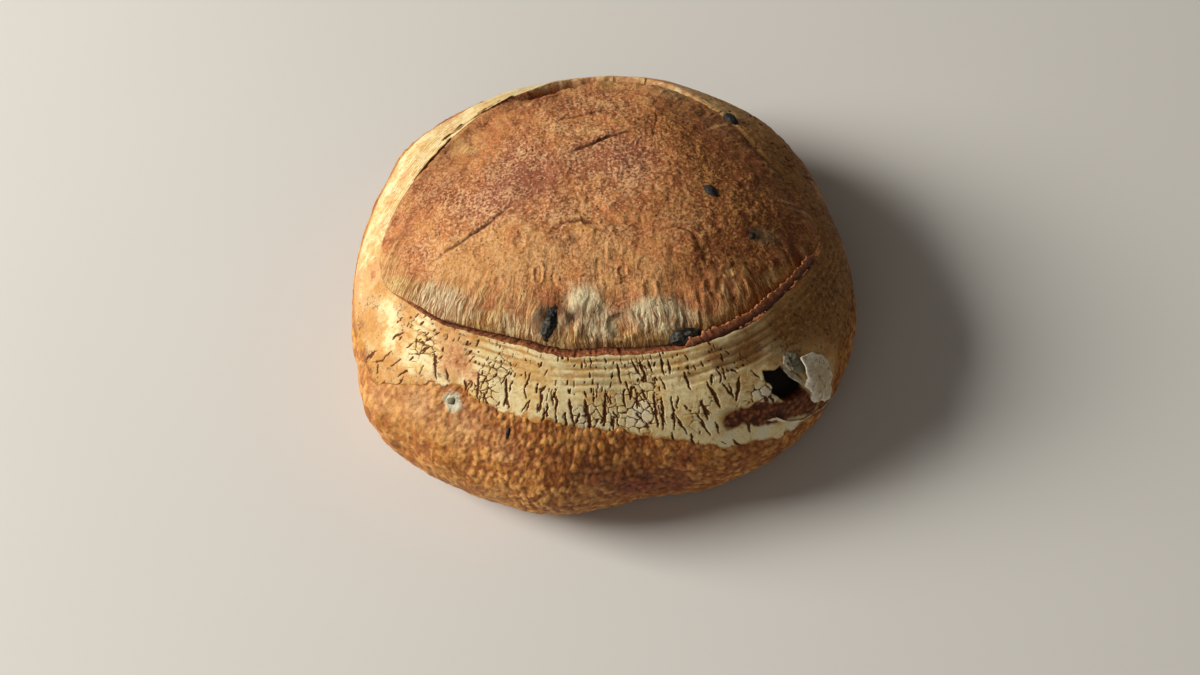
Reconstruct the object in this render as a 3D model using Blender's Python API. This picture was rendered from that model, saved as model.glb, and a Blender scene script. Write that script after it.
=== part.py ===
"""A round olive sourdough loaf, baked and uncut, lying on its flat base.

Metres, +Z up, +X to the loaf's right, +Y towards its back. The origin is under the middle of the
loaf, at the height of its base. The loaf is one solid of crust; the olives that show through the
crust are solids of their own, each in a pocket that leaves it a small gap.
"""

import math

import bmesh
import bpy
import numpy as np
from mathutils import Matrix, Vector, noise

# Sizes of the loaf
LOAF_HEIGHT = 0.100
BELLY_HEIGHT = 0.032
DOME_POWER = 0.95
TUCK_INSET = 0.020
BASE_RING_SHARES = (0.35, 0.7, 0.94)
# Belly radius every 20 degrees, counter-clockwise from +X
BELLY_RADII = (
    0.1189, 0.1138, 0.1169, 0.1149, 0.1143, 0.1128, 0.1186, 0.1217, 0.1211,
    0.1195, 0.1216, 0.1258, 0.1198, 0.1155, 0.1088, 0.1135, 0.1200, 0.1218,
)

# The slash that opened in the oven: its edge all round, as (degrees, share of the belly radius)
LIP_PLACE = (
    (0, 0.872), (8, 0.872), (17, 0.83), (26, 0.779), (35, 0.75), (45, 0.757), (55, 0.79),
    (70, 0.83), (90, 0.83), (100, 0.81), (108, 0.768), (117, 0.715), (128, 0.69),
    (143, 0.692), (155, 0.711), (166, 0.768), (176, 0.836), (186, 0.845), (194, 0.821),
    (201, 0.757), (209, 0.703), (220, 0.645), (231, 0.611), (245, 0.595), (267, 0.618),
    (288, 0.652), (302, 0.669), (315, 0.693), (327, 0.723), (339, 0.753), (346, 0.79),
    (353, 0.83),
)
# How far the edge stands above the dome, and how deep the gully behind it is, by degrees
LIP_RISE = (
    (0, 0.0003), (20, 0.0008), (50, 0.0010), (80, 0.0018), (105, 0.0030), (150, 0.0026),
    (172, 0.0012), (183, 0.0003), (198, 0.0010), (225, 0.0016), (260, 0.0019), (300, 0.0020),
    (322, 0.0028), (342, 0.0022), (352, 0.0008),
)
GULLY_DEPTH = (
    (0, 0.0004), (20, 0.0018), (50, 0.0022), (80, 0.0050), (105, 0.0085), (150, 0.0060),
    (172, 0.0024), (183, 0.0004), (198, 0.0025), (225, 0.0045), (260, 0.0055), (300, 0.0058),
    (322, 0.0065), (342, 0.0045), (352, 0.0012),
)
FULL_GULLY = 0.0045
TABLE_BLUR_DEGREES = 5

# The cross-section of the edge, as (distance inwards, share of the rise, share of the depth);
# the second distance holds where the gully is deep and the edge hangs over it
LIP_SECTION = (
    (-0.0060, -0.0060, 0.45, 0.0),
    (-0.0026, -0.0026, 0.85, 0.0),
    (-0.0006, -0.0004, 1.0, 0.0),
    (0.0004, 0.0012, 0.55, 0.0),
    (0.0009, 0.0006, 0.0, 0.35),
    (0.0014, 0.0002, 0.0, 0.75),
    (0.0022, 0.0018, 0.0, 1.0),
    (0.0042, 0.0038, 0.0, 0.78),
    (0.0066, 0.0062, 0.0, 0.42),
    (0.0100, 0.0096, 0.0, 0.14),
)

# How finely the crust is laid out
COLUMNS = 104
TUCK_ANGLES = (90, 72, 54, 36, 18)
SIDE_RINGS = 17
BLOOM_RINGS = 15
HALF_COLUMNS_FROM = 8
QUARTER_COLUMNS_FROM = 12
ARC_STEPS = 181

# Relief of the crust
LUMP_WAVE, LUMP_HEIGHT = 0.021, 0.0020
BLISTER_WAVE, BLISTER_HEIGHT = 0.013, 0.0030
BAND_HEIGHT = 0.0004
SWELL_WAVE, SWELL_HEIGHT = 0.036, 0.0013
RIB_WAVE, RIB_HEIGHT = 0.011, 0.0011
FLAT_BELOW = 0.006
RIB_RING = 0.075
# Where the floured band gives way to blistered crust, as (degrees, height)
BAND_FOOT = (
    (0, 0.026), (60, 0.030), (120, 0.034), (180, 0.036), (205, 0.048), (223, 0.068),
    (246, 0.071), (262, 0.069), (273, 0.067), (283, 0.063), (301, 0.050), (317, 0.037),
    (335, 0.030),
)

# Local forms on the crust, as (degrees, share of the belly radius, half width, height)
LOCAL_FORMS = (
    # the bulge low on the left, and the pinch beside it
    (214, 0.998, 0.016, 0.0026),
    (226, 0.990, 0.010, -0.0022),
    # the bulge low at the front
    (262, 0.995, 0.022, 0.0016),
    # the swelling on the back left shoulder
    (148, 0.95, 0.018, 0.0022),
    # the pale bulge and the dent beside the large olive
    (265, 0.44, 0.008, 0.0018),
    (259, 0.49, 0.006, -0.0020),
    # the round bubble over the edge
    (284, 0.54, 0.008, 0.0012),
    # the crest at the back of the bloom
    (100, 0.60, 0.026, 0.0020),
)

# Curved creases across the bloom, each through three (x, y) from the middle of the loaf
CREASES = (
    ((-0.0205, 0.0530), (-0.0060, 0.0590), (0.0160, 0.0660)),
    ((-0.0750, -0.0040), (-0.0620, 0.0060), (-0.0420, 0.0270)),
    ((-0.0170, 0.0260), (-0.0030, 0.0240), (0.0120, 0.0290)),
    ((0.0240, 0.0150), (0.0330, 0.0090), (0.0420, 0.0170)),
)
CREASE_REACH, CREASE_DEPTH = 0.0035, 0.0018

# The torn place low on the right: a hole through the crust beside a lifted flap
TEAR_PLACE = (321.0, 0.915)
TEAR_OUTLINE = (
    (-0.0105, 0.0070), (-0.0050, 0.0035), (-0.0010, 0.0062), (0.0040, 0.0030),
    (0.0060, -0.0020), (0.0072, -0.0066), (0.0010, -0.0052), (-0.0052, -0.0062),
    (-0.0050, -0.0010),
)
TEAR_DEPTH, TEAR_TAPER = 0.0065, 0.70
FLAP_PLACE = (329.5, 0.925)
FLAP_OUTLINE = (
    (-0.0048, 0.0080), (0.0010, 0.0096), (0.0068, 0.0072), (0.0088, 0.0005),
    (0.0060, -0.0075), (0.0012, -0.0120), (-0.0030, -0.0090), (-0.0042, -0.0010),
)
FLAP_SINK, FLAP_STAND = 0.0030, 0.0020
CUT_CLEARANCE = 0.004

# The olives that show, as name: (degrees, share of the belly radius, half sizes along the
# azimuth, up the dome and through the crust, turn in degrees, depth of the middle)
OLIVES = {
    "olive_top": (12.1, 0.475, (0.0048, 0.0031, 0.0040), -22, 0.0024),
    "olive_slit": (45.5, 0.765, (0.0050, 0.0028, 0.0042), 6, 0.0022),
    "olive_foot": (253.2, 0.487, (0.0048, 0.0098, 0.0062), 0, 0.0036),
    "olive_lip": (305.5, 0.635, (0.0078, 0.0040, 0.0046), 0, 0.0022),
    "olive_torn": (325.6, 0.882, (0.0044, 0.0046, 0.0044), 0, 0.0018),
    "olive_star": (233.0, 0.835, (0.0042, 0.0040, 0.0036), 0, 0.0026),
}
OLIVE_GAP = 0.0004
OLIVE_SEGMENTS, OLIVE_RINGS = 16, 10
OLIVE_WRINKLE_WAVE, OLIVE_WRINKLE = 0.0035, 0.0003

CRUST_COLOUR = (0.46, 0.23, 0.085, 1.0)
OLIVE_COLOUR = (0.022, 0.020, 0.026, 1.0)
CRUST_ROUGHNESS, OLIVE_ROUGHNESS = 0.75, 0.4
SHARP_ANGLE = math.radians(50)


def clear_objects():
    for thing in list(bpy.data.objects):
        bpy.data.objects.remove(thing, do_unlink=True)


def around(theta, values):
    """A smooth closed curve through values at equal steps of azimuth."""
    values = np.asarray(values)
    count = len(values)
    turn = (theta % (2 * math.pi)) / (2 * math.pi) * count
    index = np.floor(turn).astype(int)
    u = turn - index
    a, b, c, d = (values[(index + k) % count] for k in (-1, 0, 1, 2))
    return 0.5 * (2 * b + (c - a) * u + (2 * a - 5 * b + 4 * c - d) * u**2 + (3 * b - a - 3 * c + d) * u**3)


def from_table(theta, table):
    """A table of (degrees, value) read at theta, its corners rounded."""
    degrees, values = zip(*table)
    offsets = np.linspace(-TABLE_BLUR_DEGREES, TABLE_BLUR_DEGREES, 9)
    reads = [np.interp(np.degrees(theta) + k, degrees, values, period=360) for k in offsets]
    return np.mean(reads, axis=0)


def dome(theta, angle):
    """Radius and height of the smooth dome; the angle is 0 at the belly and a quarter turn on top."""
    radius = around(theta, BELLY_RADII) * np.cos(angle) ** DOME_POWER
    height = BELLY_HEIGHT + (LOAF_HEIGHT - BELLY_HEIGHT) * np.sin(angle)
    return radius, np.broadcast_to(height, radius.shape)


def dome_angle(share):
    """The dome angle at which the radius is this share of the belly radius."""
    return np.arccos(np.asarray(share) ** (1 / DOME_POWER))


def place(theta, radius, height):
    return np.stack([radius * np.cos(theta), radius * np.sin(theta), height], axis=-1)


def dome_frame(degrees, share):
    """A point of the dome with its directions along the azimuth, up the dome and outwards."""
    theta, angle, step = math.radians(degrees), float(dome_angle(share)), 1e-4
    here = place(theta, *dome(np.array(theta), angle))
    along = place(theta + step, *dome(np.array(theta + step), angle)) - here
    up = place(theta, *dome(np.array(theta), angle + step)) - here
    along /= np.linalg.norm(along)
    up -= along * np.dot(up, along)
    up /= np.linalg.norm(up)
    return here, along, up, np.cross(along, up)


def arc_tables(theta):
    """Dome angles and the arc length up to each, for every azimuth."""
    angles = np.linspace(0, math.pi / 2, ARC_STEPS)
    points = np.stack([np.stack(dome(theta, a), axis=-1) for a in angles], axis=1)
    steps = np.linalg.norm(np.diff(points, axis=1), axis=2)
    return angles, np.concatenate([np.zeros((len(theta), 1)), np.cumsum(steps, axis=1)], axis=1)


def at_arc(theta, angles, arcs, distance, lift):
    """Points at this arc length up the dome, lifted off it along its normal."""
    angle = np.array([np.interp(d, s, angles) for d, s in zip(distance, arcs)])
    angle = np.minimum(angle, math.pi / 2 - 1e-3)
    radius, height = dome(theta, angle)
    ahead_radius, ahead_height = dome(theta, angle + 5e-4)
    run, climb = ahead_radius - radius, ahead_height - height
    length = np.hypot(run, climb)
    return place(theta, radius + lift * climb / length, height - lift * run / length)


def crease_points(crease, count=13):
    """Points along a curve through three places."""
    a, b, c = (np.array(p) for p in crease)
    u = np.linspace(0, 1, count)[:, None]
    return a * (1 - u) * (1 - 2 * u) + b * 4 * u * (1 - u) + c * u * (2 * u - 1)


def local_relief(point):
    """Height added by the bulges and dents."""
    total = 0.0
    for degrees, share, reach, height in LOCAL_FORMS:
        middle = dome_frame(degrees, share)[0]
        total += height * math.exp(-(np.linalg.norm(point - middle) / reach) ** 2)
    return total


def crease_relief(point):
    """Depth of the creases, each a small step with a groove at its front."""
    total = 0.0
    for crease in CREASES:
        curve = crease_points(crease)
        gap = np.linalg.norm(curve - point[:2], axis=1).min()
        total -= CREASE_DEPTH * math.exp(-(gap / CREASE_REACH) ** 2)
    return total


def crust_relief(point, theta, inside):
    """Height of the crust over the dome at a point; inside runs from 0 at the edge to 1 on top."""
    where = Vector(point)
    if inside > 0:
        swell = SWELL_HEIGHT * noise.noise(where / SWELL_WAVE)
        spoke = Vector((math.cos(theta), math.sin(theta), 0)) * RIB_RING
        ribs = RIB_HEIGHT * noise.noise((spoke + 0.25 * where) / RIB_WAVE)
        foot = math.exp(-((inside - 0.25) / 0.2) ** 2)
        return swell + ribs * foot + crease_relief(point) + local_relief(point)
    band_foot = float(from_table(np.array(theta), BAND_FOOT))
    blistered = 1 / (1 + math.exp((point[2] - band_foot) / 0.004))
    cell = noise.voronoi(where / BLISTER_WAVE)[0][0]
    rough = LUMP_HEIGHT * noise.noise(where / LUMP_WAVE) + BLISTER_HEIGHT * (0.45 - cell)
    calm = BAND_HEIGHT * noise.noise(where / LUMP_WAVE)
    settled = min(1.0, max(0.0, point[2] / FLAT_BELOW - 0.1))
    return settled * (rough * blistered + calm * (1 - blistered) + local_relief(point))


def outwards(theta, height_share):
    """The direction in which relief is added, from sideways at the base to up on top."""
    tilt = height_share * math.pi / 2
    return np.array([math.cos(theta) * math.cos(tilt), math.sin(theta) * math.cos(tilt), math.sin(tilt)])


def roughened(points, theta, inside):
    """A ring of points moved out by the relief of the crust there."""
    moved = []
    for point, azimuth in zip(points, theta):
        climb = max(0.0, (point[2] - BELLY_HEIGHT) / (LOAF_HEIGHT - BELLY_HEIGHT))
        step = crust_relief(point, azimuth, inside)
        moved.append(point + step * outwards(azimuth, min(1.0, climb)))
    return np.array(moved)


def loaf_rings():
    """Rings of points from the base up to the top, each with its own number of columns."""
    theta = np.arange(COLUMNS) * 2 * math.pi / COLUMNS
    belly = around(theta, BELLY_RADII)
    rings = []
    base = belly - TUCK_INSET
    for share, skip in zip(BASE_RING_SHARES, (4, 2, 1)):
        rings.append(place(theta, base * share, 0 * theta)[::skip])
    for angle in np.radians(TUCK_ANGLES):
        radius = belly - TUCK_INSET * (1 - math.cos(angle))
        height = np.full(COLUMNS, BELLY_HEIGHT * (1 - math.sin(angle)))
        rings.append(roughened(place(theta, radius, height), theta, 0))
    angles, arcs = arc_tables(theta)
    lip_angle = dome_angle(from_table(theta, LIP_PLACE))
    lip_arc = np.array([np.interp(a, angles, s) for a, s in zip(lip_angle, arcs)])
    top_arc = arcs[:, -1]
    rise, depth = from_table(theta, LIP_RISE), from_table(theta, GULLY_DEPTH)
    open_share = np.clip(depth / FULL_GULLY, 0, 1)
    first, last = LIP_SECTION[0][0], LIP_SECTION[-1][0]
    for step in range(SIDE_RINGS):
        distance = (lip_arc + first) * step / SIDE_RINGS
        lift = rise * LIP_SECTION[0][2] * (step / SIDE_RINGS) ** 4
        rings.append(roughened(at_arc(theta, angles, arcs, distance, lift), theta, 0))
    for shut, opened, rise_share, depth_share in LIP_SECTION:
        distance = lip_arc + shut * (1 - open_share) + opened * open_share
        lift = rise * rise_share - depth * depth_share
        inside = max(0.0, (distance - lip_arc).mean() / (top_arc - lip_arc).mean())
        rings.append(roughened(at_arc(theta, angles, arcs, distance, lift), theta, inside))
    start = lip_arc + last
    for step in range(1, BLOOM_RINGS):
        skip = 4 if step >= QUARTER_COLUMNS_FROM else 2 if step >= HALF_COLUMNS_FROM else 1
        inside = step / BLOOM_RINGS
        ring = at_arc(theta, angles, arcs, start + (top_arc - start) * inside, 0 * theta)
        rings.append(roughened(ring[::skip], theta[::skip], inside))
    return rings


def bridge(bm, lower, upper):
    """Faces between two rings; the upper may have as many columns, half as many or twice as many."""
    count, other = len(lower), len(upper)
    if count == other:
        for i in range(count):
            j = (i + 1) % count
            bm.faces.new((lower[i], lower[j], upper[j], upper[i]))
        return
    for i in range(min(count, other)):
        j = (i + 1) % min(count, other)
        if count > other:
            bm.faces.new((lower[2 * i], lower[2 * i + 1], upper[i]))
            bm.faces.new((lower[2 * i + 1], upper[j], upper[i]))
            bm.faces.new((lower[2 * i + 1], lower[2 * j], upper[j]))
        else:
            bm.faces.new((lower[i], upper[2 * i + 1], upper[2 * i]))
            bm.faces.new((lower[i], lower[j], upper[2 * i + 1]))
            bm.faces.new((lower[j], upper[2 * j], upper[2 * i + 1]))


def cap(bm, ring, middle, upwards):
    """A fan that closes a ring at its middle."""
    hub = bm.verts.new(middle)
    for i, vert in enumerate(ring):
        after = ring[(i + 1) % len(ring)]
        bm.faces.new((vert, after, hub) if upwards else (after, vert, hub))


def new_object(name, bm):
    mesh = bpy.data.meshes.new(name)
    bmesh.ops.triangulate(bm, faces=[f for f in bm.faces if len(f.verts) > 3])
    bm.normal_update()
    bm.to_mesh(mesh)
    bm.free()
    thing = bpy.data.objects.new(name, mesh)
    bpy.context.scene.collection.objects.link(thing)
    return thing


def lofted(name, rings):
    """A closed body from rings of points, the first below and the last above."""
    bm = bmesh.new()
    made = [[bm.verts.new(p) for p in ring] for ring in rings]
    for lower, upper in zip(made, made[1:]):
        bridge(bm, lower, upper)
    cap(bm, made[0], rings[0].mean(axis=0), False)
    cap(bm, made[-1], rings[-1].mean(axis=0), True)
    return new_object(name, bm)


def prism(name, frame, outline, inner, outer, taper):
    """A prism standing on the crust, from depth inner to height outer, narrowed at its inner end."""
    middle, along, up, out = frame
    ends = zip(outline, outline[1:] + outline[:1])
    turning = sum(x1 * y2 - x2 * y1 for (x1, y1), (x2, y2) in ends)
    corners = outline if turning > 0 else outline[::-1]
    rings = []
    for height, scale in ((-inner, taper), (outer, 1.0)):
        ring = [middle + along * x * scale + up * y * scale + out * height for x, y in corners]
        rings.append(np.array(ring))
    return lofted(name, rings)


def olive_body(name, size, grow):
    """A wrinkled olive; grow adds the gap round it for its pocket."""
    degrees, share, halves, turn, depth = size
    middle, along, up, out = dome_frame(degrees, share)
    turn = math.radians(turn)
    axes = (along * math.cos(turn) + up * math.sin(turn), up * math.cos(turn) - along * math.sin(turn), out)
    middle = middle - out * (depth - crust_relief(middle, math.radians(degrees), 0.3 if share < 0.65 else 0.0))
    rings = []
    for i in range(1, OLIVE_RINGS):
        tilt = -math.pi / 2 + math.pi * i / OLIVE_RINGS
        ring = []
        for j in range(OLIVE_SEGMENTS):
            spin = 2 * math.pi * j / OLIVE_SEGMENTS
            unit = np.array([math.cos(tilt) * math.cos(spin), math.cos(tilt) * math.sin(spin), math.sin(tilt)])
            flat = middle + sum(axis * half * part for axis, half, part in zip(axes, halves, unit))
            wrinkle = OLIVE_WRINKLE * noise.noise(Vector(flat / OLIVE_WRINKLE_WAVE))
            reach = [half + grow + wrinkle for half in halves]
            ring.append(middle + sum(axis * r * part for axis, r, part in zip(axes, reach, unit)))
        rings.append(np.array(ring))
    return lofted(name, rings)


def joined(target, tool, operation):
    """The target with the tool cut out of it or joined to it; the tool is removed."""
    step = target.modifiers.new("step", "BOOLEAN")
    step.operation = operation
    step.solver = "EXACT"
    step.object = tool
    bpy.context.view_layer.update()
    depsgraph = bpy.context.evaluated_depsgraph_get()
    mesh = bpy.data.meshes.new_from_object(target.evaluated_get(depsgraph))
    target.modifiers.clear()
    target.data = mesh
    bpy.data.objects.remove(tool, do_unlink=True)


def finish(thing, colour, roughness):
    """Smooth shading and a material of its own."""
    material = bpy.data.materials.new(thing.name)
    material.use_nodes = True
    shader = material.node_tree.nodes["Principled BSDF"]
    shader.inputs["Base Color"].default_value = colour
    shader.inputs["Roughness"].default_value = roughness
    material.diffuse_color = colour
    thing.data.materials.clear()
    thing.data.materials.append(material)
    thing.data.shade_smooth()
    thing.data.set_sharp_from_angle(angle=SHARP_ANGLE)


def main():
    clear_objects()
    loaf = lofted("loaf", loaf_rings())
    flap = prism("flap", dome_frame(*FLAP_PLACE), FLAP_OUTLINE, FLAP_SINK, FLAP_STAND, 1.0)
    joined(loaf, flap, "UNION")
    tear = prism("tear", dome_frame(*TEAR_PLACE), TEAR_OUTLINE, TEAR_DEPTH, CUT_CLEARANCE, TEAR_TAPER)
    joined(loaf, tear, "DIFFERENCE")
    olives = []
    for name, size in OLIVES.items():
        joined(loaf, olive_body(name + "_pocket", size, OLIVE_GAP), "DIFFERENCE")
        olives.append(olive_body(name, size, 0.0))
    corners = np.array([vert.co for vert in loaf.data.vertices])
    middle = (corners.min(axis=0) + corners.max(axis=0)) / 2
    print("middle of the loaf", middle)
    for thing in [loaf, *olives]:
        thing.data.transform(Matrix.Translation((-middle[0], -middle[1], 0)))
    finish(loaf, CRUST_COLOUR, CRUST_ROUGHNESS)
    for olive in olives:
        finish(olive, OLIVE_COLOUR, OLIVE_ROUGHNESS)


main()
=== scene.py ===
import math
import random

import bpy
import numpy as np
from mathutils import Matrix, Vector


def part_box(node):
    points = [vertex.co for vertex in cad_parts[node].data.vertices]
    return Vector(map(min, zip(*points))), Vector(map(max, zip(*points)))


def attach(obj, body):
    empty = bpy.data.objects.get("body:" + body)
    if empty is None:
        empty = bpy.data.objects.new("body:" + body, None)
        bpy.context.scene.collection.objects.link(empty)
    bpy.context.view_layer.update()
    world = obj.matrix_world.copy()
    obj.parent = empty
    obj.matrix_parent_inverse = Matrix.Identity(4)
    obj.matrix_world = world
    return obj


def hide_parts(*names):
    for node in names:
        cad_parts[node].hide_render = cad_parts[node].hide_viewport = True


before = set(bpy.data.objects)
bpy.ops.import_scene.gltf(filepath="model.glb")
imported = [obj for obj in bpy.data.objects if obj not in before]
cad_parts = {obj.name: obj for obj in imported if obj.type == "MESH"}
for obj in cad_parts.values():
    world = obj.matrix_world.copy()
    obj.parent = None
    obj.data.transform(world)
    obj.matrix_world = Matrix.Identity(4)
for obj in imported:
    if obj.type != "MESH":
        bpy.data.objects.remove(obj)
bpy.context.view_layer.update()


# The lower crust
# The bottom, the tucked-in flank and the blistered lower side of a hand-shaped sourdough loaf.
# Its skin stayed damp in the covered pot, so the heat raised it in a crowd of small bubbles,
# golden to dark red brown. It runs a little way up under the floured crust, which hides its top.

MM = 0.001
POLE_X, POLE_Y = 0.17 * MM, 1.10 * MM
LOAF_HEIGHT, BELLY_HEIGHT = 100 * MM, 32 * MM
DOME_POWER, TUCK_INSET = 0.95, 20 * MM
# Belly radius every 20 degrees, counter-clockwise from +X
BELLY_RADII = np.array((
    118.9, 113.8, 116.9, 114.9, 114.3, 112.8, 118.6, 121.7, 121.1,
    119.5, 121.6, 125.8, 119.8, 115.5, 108.8, 113.5, 120.0, 121.8,
)) * MM
# The slash's edge, as (degrees, share of the belly radius)
LIP_PLACE = (
    (0, 0.872), (8, 0.872), (17, 0.83), (26, 0.779), (35, 0.75), (45, 0.757), (55, 0.79),
    (70, 0.83), (90, 0.83), (100, 0.81), (108, 0.768), (117, 0.715), (128, 0.69),
    (143, 0.692), (155, 0.711), (166, 0.768), (176, 0.836), (186, 0.845), (194, 0.821),
    (201, 0.757), (209, 0.703), (220, 0.645), (231, 0.611), (245, 0.595), (267, 0.618),
    (288, 0.652), (302, 0.669), (315, 0.693), (327, 0.723), (339, 0.753), (346, 0.79),
    (353, 0.83),
)
# Where the floured crust ends on the side, as (degrees, millimetres below the slash's edge)
FLOUR_FOOT = (
    (0, 42), (30, 40), (60, 37), (90, 35), (120, 36), (150, 37), (175, 35), (194, 35),
    (206, 40), (212, 44), (219, 36), (224, 29.5), (234, 24.5), (240, 29), (246, 30.5),
    (257, 28.5), (262, 30), (273, 32.5), (283, 37), (292, 41), (301, 49), (307, 55),
    (317, 59), (326, 62), (331, 59), (340, 50), (350, 44),
)
TABLE_BLUR = 5
AZIMUTHS, ARC_POINTS = 720, 320
FRONT_DENSITY = 0.35


def around(theta, values):
    """A smooth closed curve through values at equal steps of azimuth."""
    count = len(values)
    turn = (theta % (2 * math.pi)) / (2 * math.pi) * count
    index = np.floor(turn).astype(int)
    u = turn - index
    a, b, c, d = (values[(index + k) % count] for k in (-1, 0, 1, 2))
    curve = (c - a) * u + (2 * a - 5 * b + 4 * c - d) * u**2 + (3 * b - a - 3 * c + d) * u**3
    return b + 0.5 * curve


def by_degrees(theta, table, blur=TABLE_BLUR):
    """A table of (degrees, value) read at theta, its corners rounded."""
    degrees, values = zip(*table)
    reads = [np.interp(np.degrees(theta) + k, degrees, values, period=360)
             for k in np.linspace(-blur, blur, 7)]
    return np.mean(reads, axis=0)


def even_steps(outline, count):
    """Every azimuth's outline of (radius, height) laid out again in equal steps, with its length."""
    lengths = np.linalg.norm(np.diff(outline, axis=1), axis=2)
    arcs = np.concatenate([np.zeros((len(outline), 1)), np.cumsum(lengths, axis=1)], axis=1)
    shares = np.linspace(0, 1, count)
    steps = [np.stack([np.interp(shares * s[-1], s, line[:, k]) for k in (0, 1)], axis=-1)
             for s, line in zip(arcs, outline)]
    return np.array(steps), arcs[:, -1]


# Points along the first outlines, and how near the top the last one stops, as an angle
TUCK_POINTS, CLIMB_POINTS = 80, 200
NEAR_POLE = 1e-4
azimuths = np.arange(AZIMUTHS) * 2 * math.pi / AZIMUTHS
belly = around(azimuths, BELLY_RADII)[:, None]
lip_angle = np.arccos(by_degrees(azimuths, LIP_PLACE) ** (1 / DOME_POWER))[:, None]
tuck = np.linspace(math.pi / 2, 0, TUCK_POINTS)[None, :-1]
climb = np.linspace(0, 1, CLIMB_POINTS)[None, :]
RISE = LOAF_HEIGHT - BELLY_HEIGHT


def dome_line(angle):
    """The dome's outline over every azimuth, as (radius, height) at an angle up from the belly."""
    return np.stack([belly * np.cos(angle) ** DOME_POWER, BELLY_HEIGHT + RISE * np.sin(angle)], axis=-1)


under = np.stack([belly - TUCK_INSET * (1 - np.cos(tuck)),
                  BELLY_HEIGHT * (1 - np.sin(tuck)) + 0 * belly], axis=-1)
flank_line = np.concatenate([under, dome_line(lip_angle * climb)], axis=1)
side_line, side_length = even_steps(flank_line, ARC_POINTS)
top_angle = lip_angle + (math.pi / 2 - NEAR_POLE - lip_angle) * climb
top_line, top_length = even_steps(dome_line(top_angle), ARC_POINTS)


def read_line(lines, theta, share):
    """Radius and height on the outlines at an azimuth and a share of their length."""
    turn = (theta % (2 * math.pi)) / (2 * math.pi) * AZIMUTHS
    column = np.floor(turn).astype(int) % AZIMUTHS
    u = (turn - np.floor(turn))[..., None]
    along = np.clip(share, 0, 1) * (ARC_POINTS - 1)
    row = np.minimum(np.floor(along).astype(int), ARC_POINTS - 2)
    v = (along - row)[..., None]
    after = (column + 1) % AZIMUTHS
    low = lines[column, row] * (1 - u) + lines[after, row] * u
    high = lines[column, row + 1] * (1 - u) + lines[after, row + 1] * u
    return low * (1 - v) + high * v, (high - low)


def crust(theta, reach, lift=0.0):
    """A point of the loaf's skin. reach is the way inwards from the slash's edge along the skin,
    below 0 outside it; lift is the height over the smooth form, along its normal."""
    theta, reach = np.broadcast_arrays(np.asarray(theta, float), np.asarray(reach, float))
    side = around(theta, side_length)
    top = around(theta, top_length)
    spot_side, run_side = read_line(side_line, theta, 1 + np.minimum(reach, 0) / side)
    spot_top, run_top = read_line(top_line, theta, np.maximum(reach, 0) / top)
    inside = (reach > 0)[..., None]
    spot, run = np.where(inside, spot_top, spot_side), np.where(inside, run_top, run_side)
    run = run / np.linalg.norm(run, axis=-1, keepdims=True)
    floor_part = np.maximum(-reach - side, 0)
    radius = spot[..., 0] - floor_part
    out_radius, out_height = run[..., 1], -run[..., 0]
    below = floor_part > 0
    out_radius, out_height = np.where(below, 0, out_radius), np.where(below, -1, out_height)
    radius, height = radius + out_radius * lift, spot[..., 1] + out_height * lift
    return np.stack([POLE_X + radius * np.cos(theta), POLE_Y + radius * np.sin(theta), height], axis=-1)


# Large odd numbers that mix the bits of whole numbers, and the bits that are kept
MIX_X, MIX_Y, MIX_Z, MIX_SEED = 73856093, 19349663, 83492791, 2654435761
MIX_FIRST, MIX_SECOND = 2246822519, 3266489917
ALL_BITS, LOW_BITS = 0xFFFFFFFF, 0xFFFFFF
# Farther than anything on the loaf, in whatever unit
FAR = 99.0


def scatter(x, y, z, seed):
    """Even random numbers from 0 to 1, the same for the same whole numbers."""
    mixed = (x * MIX_X) ^ (y * MIX_Y) ^ (z * MIX_Z) ^ (seed * MIX_SEED)
    mixed = (mixed ^ (mixed >> 15)) * MIX_FIRST & ALL_BITS
    mixed = (mixed ^ (mixed >> 13)) * MIX_SECOND & ALL_BITS
    return ((mixed ^ (mixed >> 16)) & LOW_BITS) / LOW_BITS


def waves(points, size, seed):
    """Soft unevenness from -1 to 1; size is one length or one for each axis."""
    spot = points / size
    cell = np.floor(spot).astype(np.int64)
    u = spot - cell
    u = u * u * (3 - 2 * u)
    total = 0.0
    for corner in range(8):
        dx, dy, dz = corner & 1, corner >> 1 & 1, corner >> 2 & 1
        weight = (u[..., 0] if dx else 1 - u[..., 0]) * (u[..., 1] if dy else 1 - u[..., 1])
        weight = weight * (u[..., 2] if dz else 1 - u[..., 2])
        total = total + weight * scatter(cell[..., 0] + dx, cell[..., 1] + dy, cell[..., 2] + dz, seed)
    return 2 * total - 1


def rough(points, size, seed):
    """Unevenness in three finenesses."""
    return (waves(points, size, seed) + 0.5 * waves(points, size / 2.1, seed + 7)
            + 0.25 * waves(points, size / 4.3, seed + 13)) / 1.75


# A bubble's radius as a share of the bubbles' spacing
BUBBLE_RADIUS = 0.75


def bubbles(points, size, seed):
    """Round bubbles crowded together: their height from 0 to 1 and a random tone for each."""
    spot = points / size
    cell = np.floor(spot).astype(np.int64)
    near = np.full(points.shape[:-1], FAR)
    tone = np.zeros(points.shape[:-1])
    for corner in range(27):
        own = cell + np.array((corner % 3 - 1, corner // 3 % 3 - 1, corner // 9 - 1))
        parts = [scatter(own[..., 0], own[..., 1], own[..., 2], seed + k) for k in range(3)]
        gap = np.linalg.norm(own + np.stack(parts, axis=-1) - spot, axis=-1)
        closer = gap < near
        near = np.where(closer, gap, near)
        tone = np.where(closer, scatter(own[..., 0], own[..., 1], own[..., 2], seed + 5), tone)
    return np.clip(1 - (near / BUBBLE_RADIUS) ** 2, 0, 1), tone


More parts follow.
